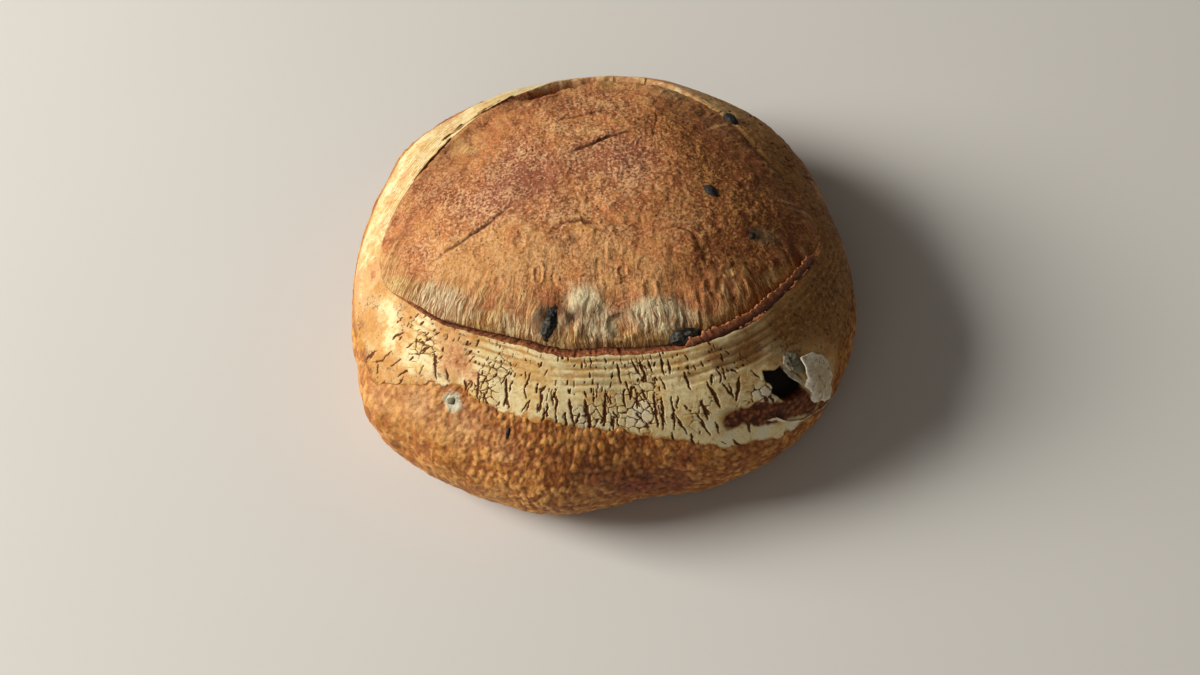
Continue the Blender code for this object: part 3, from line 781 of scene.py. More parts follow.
def crack_field(theta, x, y, cracks):
    """How deep a flat point lies in one of the cracks, from 0 to 1, and how near it is to one."""
    field, near = np.zeros(x.shape), np.zeros(x.shape)
    along = np.degrees(np.unwrap(theta[0]))
    for degrees, lean, top, bottom, wide in cracks:
        picked = np.abs((along - degrees + 180) % 360 - 180) < 4.5 + abs(lean)
        if not picked.any():
            continue
        turn = (x[:, picked] / FLAT_RADIUS_MM - math.radians(degrees) + math.pi) % (2 * math.pi) - math.pi
        lower_end = (math.radians(lean) * FLAT_RADIUS_MM, bottom - top)
        share, gap = to_segment(turn * FLAT_RADIUS_MM, y[:, picked] - top, (0, 0), lower_end)
        half = wide * CRACK_WIDTH / 2 * np.sqrt(np.clip(4 * share * (1 - share), 0.02, 1))
        field[:, picked] = np.maximum(field[:, picked], smooth(half - gap, -0.14, 0.12))
        near[:, picked] = np.maximum(near[:, picked], np.exp(-(np.maximum(gap - half, 0) / 0.6) ** 2))
    return field, near


def floured_sector(name, first, last, columns, out_rings, cracks, sink):
    """The floured crust between two azimuths, from its foot to the bottom of its torn face, closed
    by a hidden wall behind it."""
    theta = np.radians(np.linspace(first, last, columns))
    ends = np.minimum(np.arange(columns), np.arange(columns)[::-1])
    dip = (1.6 * np.exp(-ends / 1.3) + sink) * MM
    foot = flour_foot(theta)
    rise, depth, width = lip_numbers(theta)
    spots = ring_spots(theta, 0)
    wander = (0.45 * waves(spots, 5 * MM, 101) + 0.3 * waves(spots, 1.7 * MM, 102)) * MM
    edge = wander * smooth(depth, 0.5 * MM, 3 * MM)
    share = np.linspace(0, 1, out_rings + 1)[:, None]
    reach = foot + (edge - foot) * share
    around_all = theta + 0 * reach
    degrees = np.degrees(around_all) % 360
    points = crust(around_all, reach)
    height, hole = band_relief(around_all, reach, points)
    golden, toasted, greyish = band_tones(around_all, reach)
    bare = smooth(blobs(points, BARE_PATCHES) + 0.35 * rough(points, 3 * MM, 97), 0.45, 0.75)
    x, y = flattened(around_all, reach)
    cracks_in, cracks_near = crack_field(around_all, x, y, cracks)
    plates = np.clip(blobs(points, FINE_PLATES) + 0.5 * waves(points, 9 * MM, 98), 0, 1)
    border, cell_tone = cell_edges(x, y * 0.85, PLATE_MM, 99)
    plain = np.clip(smooth(toasted, 0.75, 0.4) * smooth(golden, 1.2, 0.8), 0, 1) * (1 - bare)
    # Fewer cracks at the sides and behind
    quiet = np.maximum(smooth(degrees, 206, 199), smooth(degrees, 314, 320))
    behind = (degrees < 190) & (degrees > 10)
    quiet = quiet * np.where(behind, np.where(degrees > 104, 0.78, 0.35), 1)
    quiet = quiet * (1 - blobs(points, CRACKED_PLATE).clip(0, 1))
    fine = smooth(0.20 * plates - border, -0.08, 0.1) * smooth(plates, 0.25, 0.5)
    crack = np.maximum(cracks_in * (0.35 + 0.65 * plain), fine * 0.65 * plain) * (1 - quiet)
    near = np.maximum(cracks_near, np.exp(-(border / 0.5) ** 2) * plates) * plain * (1 - quiet)
    at_foot = smooth(reach - foot, 0, 0.5 * MM)
    fading = 3.5 + 13 * smooth(from_front(theta), 46, 66)
    blister = bubbles(points, FINE_BLISTER_MM * MM, 103)[0]
    baked = by_degrees(around_all, BAKED_AND_SHADED) + blobs(points, HARD_BAKED_AND_SHADED) - blobs(points, THICK_FLOUR)
    baked = baked + 0.35 * rough(points, 7 * MM, 74)
    thick = 0.2 + 0.8 * smooth(from_front(around_all), 62, 48)
    skin = SKIN_MM * at_foot * (1 - bare) * thick + 0.08 * near
    skin = skin + 0.10 * (cell_tone - 0.5) * plates * plain
    lift = height + (skin - CRACK_DEPTH_MM * crack + bare * (0.6 * blister - 0.35)) * MM - dip
    lift = lift + 0.34 * MM * blister * smooth(baked, 0.3, 0.9) * (1 - bare) * at_foot
    rows = [crust(around_all, reach, lift)]
    toast = by_degrees(theta, FACE_TOAST)
    numbers = {
        "golden": golden, "toasted": toasted, "greyish": greyish, "hole": hole, "face": 0 * reach,
        "foot": smooth(reach - foot, fading * MM, 0), "crack": crack, "bare": bare, "blister": blister,
        "veil": blobs(points, OLIVE_VEILS), "white": blobs(points, WHITE_PLATES_AND_LIGHT),
        "ridge": band_ridges(around_all, reach), "tone": cell_tone, "baked": baked,
    }
    top_relief = height[-1] + SKIN_MM * MM * thick[-1]
    deep = smooth(depth, 0.4 * MM, 1.6 * MM)
    for k in range(1, FACE_RINGS + 1):
        share = k / FACE_RINGS
        face_reach = edge + width * share
        fall = share**1.7
        spots = ring_spots(theta, face_reach * 2)
        fibre = (0.45 * waves(spots, 2.1 * MM, 103) + 0.3 * waves(spots, 0.9 * MM, 104)
                 + 0.5 * waves(ring_spots(theta, face_reach * 0.6), 1.3 * MM, 105))
        shelf = 0.6 * waves(ring_spots(theta, 0), 7 * MM, 106) * math.sin(math.pi * share)
        body = top_relief * (1 - share * deep) - (depth + 0.4 * MM) * fall * (0.2 + 0.8 * deep)
        rough_face = (fibre + shelf) * MM * smooth(depth, 0.3 * MM, 2.5 * MM) * min(1, 3 * share)
        rows.append(crust(theta, face_reach, body + rough_face - dip)[None])
        for key in numbers:
            value = toast * (0.35 + 0.65 * share) if key == "face" else numbers[key][out_rings]
            numbers[key] = np.concatenate([numbers[key], np.broadcast_to(value, (1, columns))])
    back = [crust(theta, ahead * MM + 0 * theta, fall * MM - depth - dip) for ahead, fall in HIDDEN_WALL]
    back += [crust(theta, foot * share, fall * MM - dip) for share, fall in HIDDEN_UNDERSIDE]
    back.append(crust(theta, foot + 0.4 * MM, side_forms(crust(theta, foot)) - 1.2 * MM - dip))
    rows += [row[None] for row in back] + [rows[0][:1]]
    rings = np.concatenate(rows)
    spare = len(rings) - len(numbers["face"])
    for key, values in numbers.items():
        numbers[key] = np.concatenate([values, np.repeat(values[-1:], spare, axis=0)])
    rings[:, 0] = rings[:, 0].mean(axis=0)
    rings[:, -1] = rings[:, -1].mean(axis=0)
    return rolled(name, rings, numbers)


front_cracks = list(MAIN_CRACKS) + strewn_cracks(206, 316, 5)
rear_cracks = strewn_cracks(8, 188, 6)
sectors = (
    floured_sector("floured_front", FRONT_FROM, FRONT_TO, 556, 148, front_cracks, 0.0),
    floured_sector("floured_rear", FRONT_TO - OVERLAP, FRONT_FROM + 360 + OVERLAP, 700, 116,
                   rear_cracks, 0.05),
)

CREAM, YELLOW_CREAM, WHITE_FLOUR = colour(240, 222, 172), colour(228, 200, 134), colour(236, 226, 196)
FLOUR_GOLD, TOAST, PINKISH = colour(212, 158, 80), colour(170, 98, 46), colour(222, 170, 118)
OLIVE_BEIGE, CRACK_BROWN, RIDGE_SHADE_TAN = colour(150, 106, 58), colour(104, 58, 22), colour(184, 140, 78)
BAKED_LIGHT, BAKED_BROWN, BAKED_DARK_SHADE = colour(208, 152, 86), colour(124, 70, 30), colour(72, 36, 12)
RAISED_TAN, PATCH_PALE, PATCH_DARK = colour(206, 150, 88), colour(196, 146, 84), colour(84, 46, 18)
FOOT_BROWN, FOOT_TAN = colour(138, 78, 30), colour(206, 148, 70)
BARE_HOLLOW, BARE_TOP = colour(84, 38, 14), colour(160, 92, 40)
SPECK_BROWN, PIT_BROWN, FLOUR_GRAIN = colour(162, 104, 50), colour(128, 68, 26), colour(186, 160, 128)
LIP_BROWN, LIP_RED, LIP_ORANGE = colour(112, 58, 32), colour(66, 28, 14), colour(184, 114, 68)
OLIVE_SHADE, HOLE_SHADE_DARK = colour(132, 128, 100), colour(24, 13, 8)
for sector in sectors:
    finish = Finish(sector, sector.name)
    spot = finish.place
    noted = {key: finish.noted(key) for key in (
        "golden", "toasted", "greyish", "hole", "face", "foot", "crack", "bare", "blister", "ridge", "tone",
        "baked", "veil", "white")}
    cloud = spot.noise(90, 4, 0.6)
    mottle = spot.noise(420, 4, 0.65)
    fine = spot.noise(900, 3, 0.6)
    grain = spot.noise(1700, 3, 0.6)
    clouded, mottled, finely = cloud - 0.5, mottle - 0.5, fine - 0.5
    skin = (cloud + (noted["tone"] - 0.5) * 0.25).clear(0.35, 0.72).blend(CREAM, YELLOW_CREAM)
    # Painted shade: tan between the low ridges beside the edge, broken up by random tone
    between = (1 - noted["ridge"]) * 0.5 + mottled * 0.9 + clouded * 0.5
    skin = between.clear(0.42, 0.95).blend(skin, RIDGE_SHADE_TAN)
    # Browner where the crust is baked, and on the right also painted shade on the side away from the light
    baked = noted["baked"] * 0.8 + mottled * 1.1 + clouded * 0.8 + finely * 0.6
    skin = baked.clear(0.1, 0.75).blend(skin, BAKED_LIGHT)
    skin = baked.clear(0.55, 1.15).blend(skin, BAKED_BROWN)
    skin = (baked.clear(1.15, 1.9) * 0.8).blend(skin, BAKED_DARK_SHADE)
    raised = (noted["blister"] + finely * 1.2).clear(0.55, 0.95) * noted["baked"].clear(0.3, 1.0)
    skin = (raised * 0.5).blend(skin, RAISED_TAN)
    skin = (noted["greyish"] + clouded * 0.6).clear(0.2, 0.9).blend(skin, OLIVE_BEIGE)
    where_patchy = (noted["baked"] + noted["greyish"] * 0.5).clear(0.25, 0.8)
    patchy = (mottle * 0.5 + fine * 0.3 + cloud * 0.2 - 0.5) * where_patchy
    skin = (patchy.clear(0.0, 0.09) * 0.55).blend(skin, PATCH_PALE)
    skin = (patchy.clear(-0.01, -0.09) * 0.75).blend(skin, PATCH_DARK)
    golden = (noted["golden"] * 0.8 + mottled * 1.2 + finely * 0.6).clear(0.2, 1.1)
    skin = (golden * 0.8).blend(skin, FLOUR_GOLD)
    toasted = noted["toasted"] * 0.8 + mottled * 1.3 + finely * 0.9
    skin = toasted.clear(0.1, 0.6).blend(skin, PINKISH)
    skin = (toasted.clear(0.4, 1.0) * 0.85).blend(skin, TOAST)
    foot_skin = (mottle * 0.6 + cloud * 0.4).clear(0.4, 0.6).blend(FOOT_BROWN, FOOT_TAN)
    skin = (noted["foot"] + mottled * 1.3 + clouded * 0.6).clear(0.4, 0.95).blend(skin, foot_skin)
    # Whiter flour: real round the burst, painted light at the front middle
    skin = (noted["white"] + mottled * 0.9).clear(0.2, 0.9).blend(skin, WHITE_FLOUR)
    blistered = (noted["blister"] * 0.6 + mottled * 1.4).clear(0.1, 0.8)
    skin = noted["bare"].blend(skin, blistered.blend(BARE_HOLLOW, BARE_TOP))
    skin = (mottle.clear(0.6, 0.72) * 0.35).blend(skin, SPECK_BROWN)
    pits = spot.cells(330).clear(0.17, 0.08) * spot.noise(60, 2).clear(0.5, 0.68)
    skin = (pits * 0.7).blend(skin, PIT_BROWN)
    skin = (noted["crack"] + mottled * 0.3).clear(0.12, 0.6).blend(skin, CRACK_BROWN)
    skin = (grain.clear(0.35, 0.8) * 0.25).stain(skin, FLOUR_GRAIN)
    torn_skin = (fine * 0.6 + mottle * 0.4).clear(0.4, 0.62).blend(LIP_BROWN, LIP_ORANGE)
    torn_skin = (noted["face"] + finely * 0.5).clear(0.55, 1.0).blend(torn_skin, LIP_RED)
    skin = (noted["face"] + mottled * 0.2).clear(0.06, 0.3).blend(skin, torn_skin)
    skin = (noted["veil"] + mottled * 0.8).clear(0.2, 0.9).blend(skin, OLIVE_SHADE)
    # Painted shade: near black deep in the burst hole
    skin = (noted["hole"] + mottled * 0.5).clear(0.25, 0.75).blend(skin, HOLE_SHADE_DARK)
    finish.feed("Base Color", skin)
    finish.feed("Specular IOR Level", 0.3)
    finish.feed("Roughness", 0.8 - noted["toasted"] * 0.12 - noted["bare"] * 0.2 + grain * 0.08)
    height = grain * 0.5 + mottle * 0.7 + spot.noise(4200, 2) * 0.25 + fine * noted["face"]
    finish.bump(height, 0.0006, 0.6)
    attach(sector, "root")
    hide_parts("loaf")


# The bloom
# The crumb-side dough that welled up out of the slash in the oven and baked into the top of the
# loaf: stringy and pale where it stretched out of the gully, grainy and red brown on top.

# Places on the bloom, in millimetres from the loaf's middle: (x, y, half width, strength)
PURPLE = (
    (-24, 20, 20, 0.9), (-42, 13, 15, 0.8), (3, 34, 17, 0.7), (20, 22, 13, 0.7), (22, 38, 12, 0.5),
    (-55, 2, 12, 0.5), (12, 0, 9, 0.4), (-38, 40, 14, 0.4), (28, 5, 10, 0.3),
)
PALE_FOOT = (
    (-64, -40, 9, 0.9), (-75, -33, 8, 0.7), (-52, -46, 8, 0.5), (-2, -45, 9, 1.0), (5, -57, 9, 0.9),
    (33, -50, 9, 0.9), (23, -50, 8, 0.7), (-12, -55, 6, 0.5), (44, -50, 7, 0.5), (-22, -57, 7, 0.7),
    (-35, -53, 7, 0.6), (60, -36, 6, 0.4),
)
GOLD_MIDDLE = (
    (-30, -26, 20, 0.7), (6, -26, 18, 0.5), (34, -30, 15, 0.35), (-58, -28, 14, 0.7),
    (-62, -6, 14, 0.3), (0, -8, 9, 0.4), (64, 10, 12, 0.3), (-80, 4, 9, 0.4), (5, 85, 8, 0.8),
    (24, 84, 10, 0.8), (40, 80, 9, 0.7),
)
# Dark places: partly dark specks of crust, partly painted shade in dents and in the hollows round the olive
# at the foot and at the back
SHADE_AND_DARK_SPOTS = (
    (-34, 0, 2.2, 0.9), (-65, 24, 3.0, 0.7), (10, 1, 2.6, 0.8), (-59, 13, 2.0, 0.7),
    (-2, -8, 2.2, 0.9), (-7.5, -15.5, 5.0, 0.8), (-6, -52, 2.8, 1.0), (-12.5, -50, 3.4, 0.8),
    (46, -22, 2.6, 0.5), (61, -36, 4.0, 0.4), (26, 20, 5, 0.35), (-15, -57, 4, 0.8),
    (-13, -48, 3, 0.6), (49, -44, 3, 0.5), (-48, 44, 4, 0.4), (-31, 73, 5, 0.9), (-20, 78, 4, 0.8),
    (-7, 83, 3, 0.6),
)
# Browner places, most of them on the right: partly crust browned harder, partly painted shade on the side
# away from the light
BROWNED_AND_SHADED = (
    (72, 18, 28, 1.1), (60, 46, 22, 0.9), (84, -12, 20, 1.0), (58, -22, 15, 0.6), (40, 60, 18, 0.7),
    (-36, 62, 14, 0.3), (34, 2, 12, 0.4), (18, -12, 15, 0.4), (4, 60, 22, 0.35), (42, -30, 13, 0.6),
)
GREEN_SHADES = (
    (80, -7, 8, 0.5), (72, -7, 5, 0.35), (-4, -50, 5, 0.6), (-20.5, -53, 4.5, 1.0),
    (-18, -58, 4, 0.8), (-19, -47, 3.5, 0.4), (40, -56, 5, 0.6), (50, -49, 5, 0.5),
)
# Lumps and dents, with their height in millimetres
LUMPS = (
    (-1, -48, 7, 1.7), (-6, -52.5, 3, -1.5), (14.5, -55, 7, 0.9), (-7.5, -15.5, 5, -1.1),
    (6.6, -42, 4, 0.5), (-23.7, 23, 3, -0.5), (-59, 13, 2.2, -0.7), (27, -39.7, 3.6, 0.6),
    (46, -20, 6, 0.8), (0, 80, 12, 1.2), (-64, -40, 8, 0.8), (32, -50, 8, 0.9), (-30, -50, 9, 0.7),
    (55, -32, 7, 0.5), (-20, 62, 10, 1.0), (24, 76, 9, 1.2), (-74, 4, 10, -0.6),
    (-10.5, -51, 3.4, 2.0), (-21.5, -51, 3.8, 2.4), (-16, -43.5, 4, 2.1), (-16, -60, 3.5, 1.0),
)
# Folds where one layer of the bloom steps down under the next, as points and a depth; the lower
# side is on the right of the line's way. The groove at each fold's foot is darkened as painted shade.
FOLDS = (
    (((-73, -19.5), (-59, -12.7), (-44, -3.5), (-35.5, 3.4)), 1.1),
    (((-14, 31.3), (-1.5, 37.1), (7.4, 43.5), (21, 47.3)), 1.5),
    (((-17, -12), (-12, -8), (-4, -7), (3, -9), (8, -13)), 0.9),
    (((51, -21.5), (45.8, -12), (38, -9), (30, -12)), 1.0),
    (((60, -29), (64, -24), (70, -23)), 0.6),
    (((-20, 53), (-6, 59), (16, 66)), 0.9),
    (((-50, 27), (-38, 34), (-24, 37)), 0.5),
    (((-30, 8), (-14, 12), (2, 9), (20, 12)), 0.45),
    (((24, 15), (33, 9), (42, 17)), 0.5),
)
# Shallow oval hollows with a raised rim, as (x, y, half width, half length)
OVALS = (
    (-31, -15.7, 3.0, 4.6), (-49.6, -19, 2.4, 4.2), (27, -39.7, 3.0, 5.5), (48.8, -39, 1.7, 6.0),
    (52.3, -35.6, 1.9, 3.4), (57, -35.4, 2.0, 4.2), (51, -21.5, 1.8, 5.0), (14.9, -31, 2.6, 2.6),
    (14.5, -55, 7.4, 5.6), (14.5, -55, 7.2, 5.4), (61, -28, 3.0, 2.4), (-22, -32, 2.2, 5.0),
    (-40, -36, 2.0, 5.0),
)
# How far behind the middle the strings in front fan out from, and the radius at which they are
# laid out, both in millimetres
FAN_MIDDLE, FAN_RADIUS = 150, 175
# Rings of points on the bloom and under the floured crust, and the share of the torn face's width
# at which the bloom starts
BLOOM_HALF, UNDER_RINGS, START_SHARE = 152, 5, 0.6
# Sizes of the grains on top
GRAIN_MM, COARSE_GRAIN_MM = 1.75, 3.1
# How far the hidden rim runs on under the floured crust, how deep, and where it closes
HIDDEN_RIM_MM, HIDDEN_DEPTH_MM, HIDDEN_MIDDLE_MM = 20, 9, 60
# The gully's section, as (reach in millimetres, share of its depth)
GULLY_SECTION = ((2.4, 1.28), (3.2, 1.08), (4.4, 0.76), (6.6, 0.38), (10, 0.13), (15, 0.0))


def spread(points, places):
    """Soft patches on the bloom."""
    total = 0.0
    for x, y, width, strength in places:
        gap = np.hypot(points[..., 0] - x * MM, points[..., 1] - y * MM) / (width * MM)
        total = total + strength * np.exp(-gap**2)
    return total


def fold_line(points, line, deep):
    """A step down to the right of a line, with a groove at its foot, and the groove alone."""
    x, y = points[..., 0] / MM, points[..., 1] / MM
    wander = 1.1 * waves(points, 5 * MM, 111) + 0.5 * waves(points, 2 * MM, 112)
    x, y = x + wander, y + 0.8 * wander
    best, across, ending = np.full(x.shape, FAR), np.zeros(x.shape), np.zeros(x.shape)
    count = len(line) - 1
    for k, ((ax, ay), (bx, by)) in enumerate(zip(line, line[1:])):
        length = math.hypot(bx - ax, by - ay)
        along, gap = to_segment(x, y, (ax, ay), (bx, by))
        side = ((bx - ax) * (y - ay) - (by - ay) * (x - ax)) / length
        closer = gap < best
        best = np.where(closer, gap, best)
        across = np.where(closer, side, across)
        ending = np.where(closer, (k + along) / count, ending)
    fade = np.sin(math.pi * np.clip(ending, 0.02, 0.98)) ** 0.5
    step = np.exp(-np.maximum(across, 0) / 4.5) * (across > 0) * smooth(across, 0, 0.6)
    groove = np.exp(-((best + 0.25 * np.sign(-across)) / 0.75) ** 2)
    reach_out = np.exp(-(best / 5.0) ** 2)
    return deep * fade * (0.7 * step * reach_out - 0.9 * groove), deep * fade * groove


def bloom_layers(theta, reach):
    """Points and height of the bloom over the smooth form, with how grainy and stringy it is, how
    much painted shade darkens its creases, folds and ovals, and how deep it lies in the gully."""
    points = crust(theta, reach)
    depth = lip_numbers(theta)[1]
    section = np.interp(reach / MM, *zip(*GULLY_SECTION))
    x, y = points[..., 0], points[..., 1]
    in_front = smooth(y, -4 * MM, -32 * MM)
    across = x / (FAN_MIDDLE * MM - y) * FAN_RADIUS * MM
    fan = np.stack([across, (y + points[..., 2]) * 0.12, 0 * x], axis=-1)
    fan[..., 0] += 1.0 * MM * waves(points, 7 * MM, 121) + 0.5 * MM * waves(points, 3 * MM, 122)
    spoke = ring_spots(theta, reach * 0.12)
    spoke = spoke + 0.8 * MM * waves(points, 5 * MM, 123)[..., None]
    strings = np.where(y < 0, waves(fan, 1.5 * MM, 124), waves(spoke, 1.7 * MM, 124))
    thick = np.where(y < 0, waves(fan, 4.2 * MM, 125), waves(spoke, 4.5 * MM, 125))
    fine = np.where(y < 0, waves(fan, 0.8 * MM, 126), waves(spoke, 0.9 * MM, 126))
    near_foot = smooth(reach, 42 * MM, 12 * MM)
    stringy = np.clip(np.maximum(in_front, 0.75 * near_foot) + 0.3 * waves(points, 12 * MM, 127), 0, 1)
    stringy = stringy * (0.45 + 0.55 * near_foot)
    grainy = 1 - 0.75 * stringy
    grains, tone = bubbles(points, GRAIN_MM * MM, 131)
    coarse, coarse_tone = bubbles(points, COARSE_GRAIN_MM * MM, 132)
    height = 1.1 * waves(points, 36 * MM, 133) + 0.7 * waves(points, 13 * MM, 134)
    height = height + grainy * (0.42 * grains * (0.4 + 0.6 * tone) + 0.6 * coarse * coarse_tone)
    height = height + stringy * (0.36 * strings + 0.5 * thick + 0.17 * fine)
    height = height + 0.4 * waves(points, 4.5 * MM, 135) + spread(points, LUMPS)
    creased = smooth(waves(points, 19 * MM, 152), -0.15, 0.3)
    crease = np.exp(-(waves(points, 11 * MM, 151) / 0.06) ** 2) * creased
    height = height - 0.55 * crease * grainy
    # The creases, fold grooves and oval rings are darkened as painted shade
    dark = 0.4 * crease * grainy
    for line, deep in FOLDS:
        step, groove = fold_line(points, line, deep)
        height = height + step
        dark = dark + groove
    for cx, cy, half, length in OVALS:
        gap = np.hypot((x / MM - cx) / half, (y / MM - cy) / length)
        gap = gap + 0.12 * waves(points, 2.5 * MM, 136)
        height = height + 0.32 * np.exp(-((gap - 1.05) / 0.22) ** 2) - 0.4 * smooth(gap, 1.0, 0.5)
        dark = dark + 0.3 * np.exp(-((gap - 0.85) / 0.16) ** 2)
    crest = np.clip(np.sin(np.clip((np.degrees(theta) - 52) / 75, 0, 1) * math.pi), 0, 1)
    knobs = np.exp(-((reach / MM - 12) / 4.5) ** 2) * crest
    height = height + knobs * (1.3 + 2.2 * rough(points, 6 * MM, 137))
    height = height * smooth(section, 1.25, 0.5)
    wrinkle = 0.4 * rough(points, 2.4 * MM, 138) * section
    lift = (height + wrinkle) * MM - depth * section
    level_edge = smooth(reach, 14 * MM, 2 * MM) * smooth(depth, 2 * MM, 0.4 * MM)
    lift = lift + side_forms(points) * level_edge
    return points, lift, grains * (0.5 + 0.5 * tone), stringy, strings, dark, section


def bloom_patch(half, under):
    """A square grid's points, each as an azimuth and the number of its ring; the last rings lie
    under the floured crust."""
    steps = np.arange(-half - under, half + under + 1)
    a, b = np.meshgrid(steps, steps)
    ring = np.maximum(np.abs(a), np.abs(b))
    wide = np.abs(a) > np.abs(b)
    safe_a, safe_b = np.where(a == 0, 1, a), np.where(b == 0, 1, b)
    theta = np.where(wide, math.pi / 4 * b / safe_a, math.pi / 2 - math.pi / 4 * a / safe_b)
    theta = np.where(np.where(wide, a, b) < 0, theta + math.pi, theta)
    return theta, ring


theta, ring = bloom_patch(BLOOM_HALF, UNDER_RINGS)
share = np.minimum(ring / BLOOM_HALF, 1)
start = START_SHARE * lip_numbers(theta)[2]
reach = start + (around(theta, top_length) - start) * (1 - share)
points, lift, grains, stringy, strings, dark, section = bloom_layers(theta, reach)
place = crust(theta, reach, lift)
deeper = np.maximum(ring - BLOOM_HALF, 0) / UNDER_RINGS
under = crust(theta, reach + HIDDEN_RIM_MM * MM * deeper, lift - HIDDEN_DEPTH_MM * MM * deeper)
place = np.where((deeper > 0)[..., None], under, place)
place[ring == BLOOM_HALF + UNDER_RINGS] = (POLE_X, POLE_Y, HIDDEN_MIDDLE_MM * MM)
bpy.ops.object.select_all(action="DESELECT")
across = 2 * (BLOOM_HALF + UNDER_RINGS)
bpy.ops.mesh.primitive_grid_add(x_subdivisions=across, y_subdivisions=across, size=2)
bloom = bpy.context.object
flat = np.empty(len(bloom.data.vertices) * 3)
bloom.data.vertices.foreach_get("co", flat)
column = np.rint((flat[0::3] + 1) / 2 * across).astype(int)
row = np.rint((flat[1::3] + 1) / 2 * across).astype(int)
bloom.data.vertices.foreach_set("co", place[row, column].ravel())
in_front = smooth(points[..., 1], -8 * MM, -26 * MM)
ragged_reach = reach + 3 * MM * waves(points, 8 * MM, 139)
notes = {
    "grains": grains, "stringy": stringy, "strings": strings, "dark": dark + spread(points, SHADE_AND_DARK_SPOTS),
    "purple": spread(points, PURPLE), "pale": spread(points, PALE_FOOT),
    "gold": spread(points, GOLD_MIDDLE), "browned": spread(points, BROWNED_AND_SHADED),
    "green": spread(points, GREEN_SHADES),
    "deep": section * smooth(lip_numbers(theta)[1], 0.3 * MM, 2.5 * MM),
    "foot": smooth(ragged_reach, 19 * MM, 7 * MM) * in_front,
}
for key, values in notes.items():
    note(bloom, key, values[row, column])
closed(bloom)
made(bloom, "bloom_crust")

ORANGE_BROWN, UNEVEN_BROWN, PURPLE_BROWN = colour(206, 132, 76), colour(170, 98, 48), colour(162, 94, 68)
PINK_BEIGE, BROWNED_BEIGE, BLOOM_GOLD = colour(238, 188, 136), colour(204, 148, 82), colour(220, 162, 94)
BROAD_BROWN, BLOTCH_BROWN, BLOTCH_PALE = colour(148, 82, 44), colour(144, 76, 36), colour(228, 168, 98)
HARD_BROWN, SPECK_DARK, GULLY_SHADE_RED = colour(116, 60, 22), colour(112, 54, 26), colour(96, 42, 22)
STRING_PALE, STRING_BROWN = colour(232, 188, 124), colour(150, 92, 44)
HAIR_BROWN, HAIR_PALE = colour(178, 132, 72), colour(222, 190, 126)
FOOT_CREAM, FOOT_GREY, FOLD_SHADE_BROWN = colour(228, 212, 170), colour(104, 102, 84), colour(92, 42, 20)
BLOOM_GRAIN = colour(168, 128, 92)
finish = Finish(bloom, "bloomed_crumb")
spot = finish.place
noted = {key: finish.noted(key) for key in notes}
cloud = spot.noise(75, 4, 0.6)
broad = spot.noise(34, 3, 0.6)
mottle = spot.noise(480, 4, 0.65)
speck = spot.noise(820, 3, 0.6)
grain = spot.noise(1900, 3, 0.6)
blotch = spot.noise(120, 3, 0.5)
clouded, mottled = cloud - 0.5, mottle - 0.5
# Coordinates stretched along the strings, for the finest of them
x = spot.node("SeparateXYZ", {}, {0: spot}, "X")
y = spot.node("SeparateXYZ", {}, {0: spot}, "Y")
wavy = (spot.noise(150, 2) - 0.5) * 0.004
fan_x = x.sum("DIVIDE", x, FAN_MIDDLE * MM - y) * (FAN_RADIUS * MM) + wavy
hair = spot.node("CombineXYZ", {}, {"X": fan_x, "Y": y * 0.1, "Z": 0.0})
hairs = hair.noise(1500, 3, 0.6)
skin = (cloud + mottled * 0.8).clear(0.3, 0.75).blend(ORANGE_BROWN, UNEVEN_BROWN)
skin = (broad * 0.6 + cloud * 0.4).clear(0.5, 0.66).blend(skin, BLOOM_GOLD)
skin = (broad * 0.5 + mottle * 0.5).clear(0.47, 0.38).blend(skin, BROAD_BROWN)
skin = (blotch.clear(0.5, 0.62) * 0.65).blend(skin, BLOTCH_BROWN)
skin = (blotch.clear(0.46, 0.36) * 0.4).blend(skin, BLOTCH_PALE)
skin = (noted["purple"] + clouded * 0.9).clear(0.2, 1.1).blend(skin, PURPLE_BROWN)
skin = (noted["gold"] + clouded * 0.8).clear(0.1, 1.0).blend(skin, BLOOM_GOLD)
# Browner places, on the right partly painted shade
browned = (noted["browned"] + clouded * 0.8 + mottled * 0.6).clear(0.2, 1.0)
skin = (browned * 0.85).blend(skin, HARD_BROWN)
plain = 1 - noted["stringy"] * 0.55
# Pale beige speckle, a little more on the grain tops, and dark speckle in the gaps: partly the crumb's own
# tones, partly painted highlight and shade on the grains
grain_tops = (speck + noted["grains"] * 0.16 + clouded * 0.45).clear(0.49, 0.7)
top_skin = noted["browned"].clear(0.1, 0.8).blend(PINK_BEIGE, BROWNED_BEIGE)
skin = (grain_tops * plain * 0.85).blend(skin, top_skin)
grain_gaps = (speck * 0.5 + mottle * 0.5 - noted["grains"] * 0.06).clear(0.46, 0.35)
skin = (grain_gaps * plain * 0.6).blend(skin, SPECK_DARK)
pale_strings = (noted["stringy"] * (noted["strings"] * 0.4 + hairs)).clear(0.38, 0.85)
skin = pale_strings.blend(skin, STRING_PALE)
foot_skin = (hairs + mottled * 0.5).clear(0.4, 0.6).blend(HAIR_BROWN, HAIR_PALE)
skin = (noted["foot"] + clouded * 0.8).clear(0.2, 0.9).blend(skin, foot_skin)
skin = (noted["pale"] + (hairs - 0.5) * 0.9).clear(0.25, 0.95).blend(skin, FOOT_CREAM)
skin = (noted["green"] + mottled * 0.5).clear(0.2, 0.9).blend(skin, FOOT_GREY)
skin = ((1 - hairs) * noted["stringy"]).clear(0.38, 0.62).blend(skin, STRING_BROWN)
# Painted shade in the creases, fold grooves, oval rings, dents and hollows, with some dark specks of crust
skin = ((noted["dark"] + mottled * 0.7).clear(0.3, 1.1) * 0.8).blend(skin, FOLD_SHADE_BROWN)
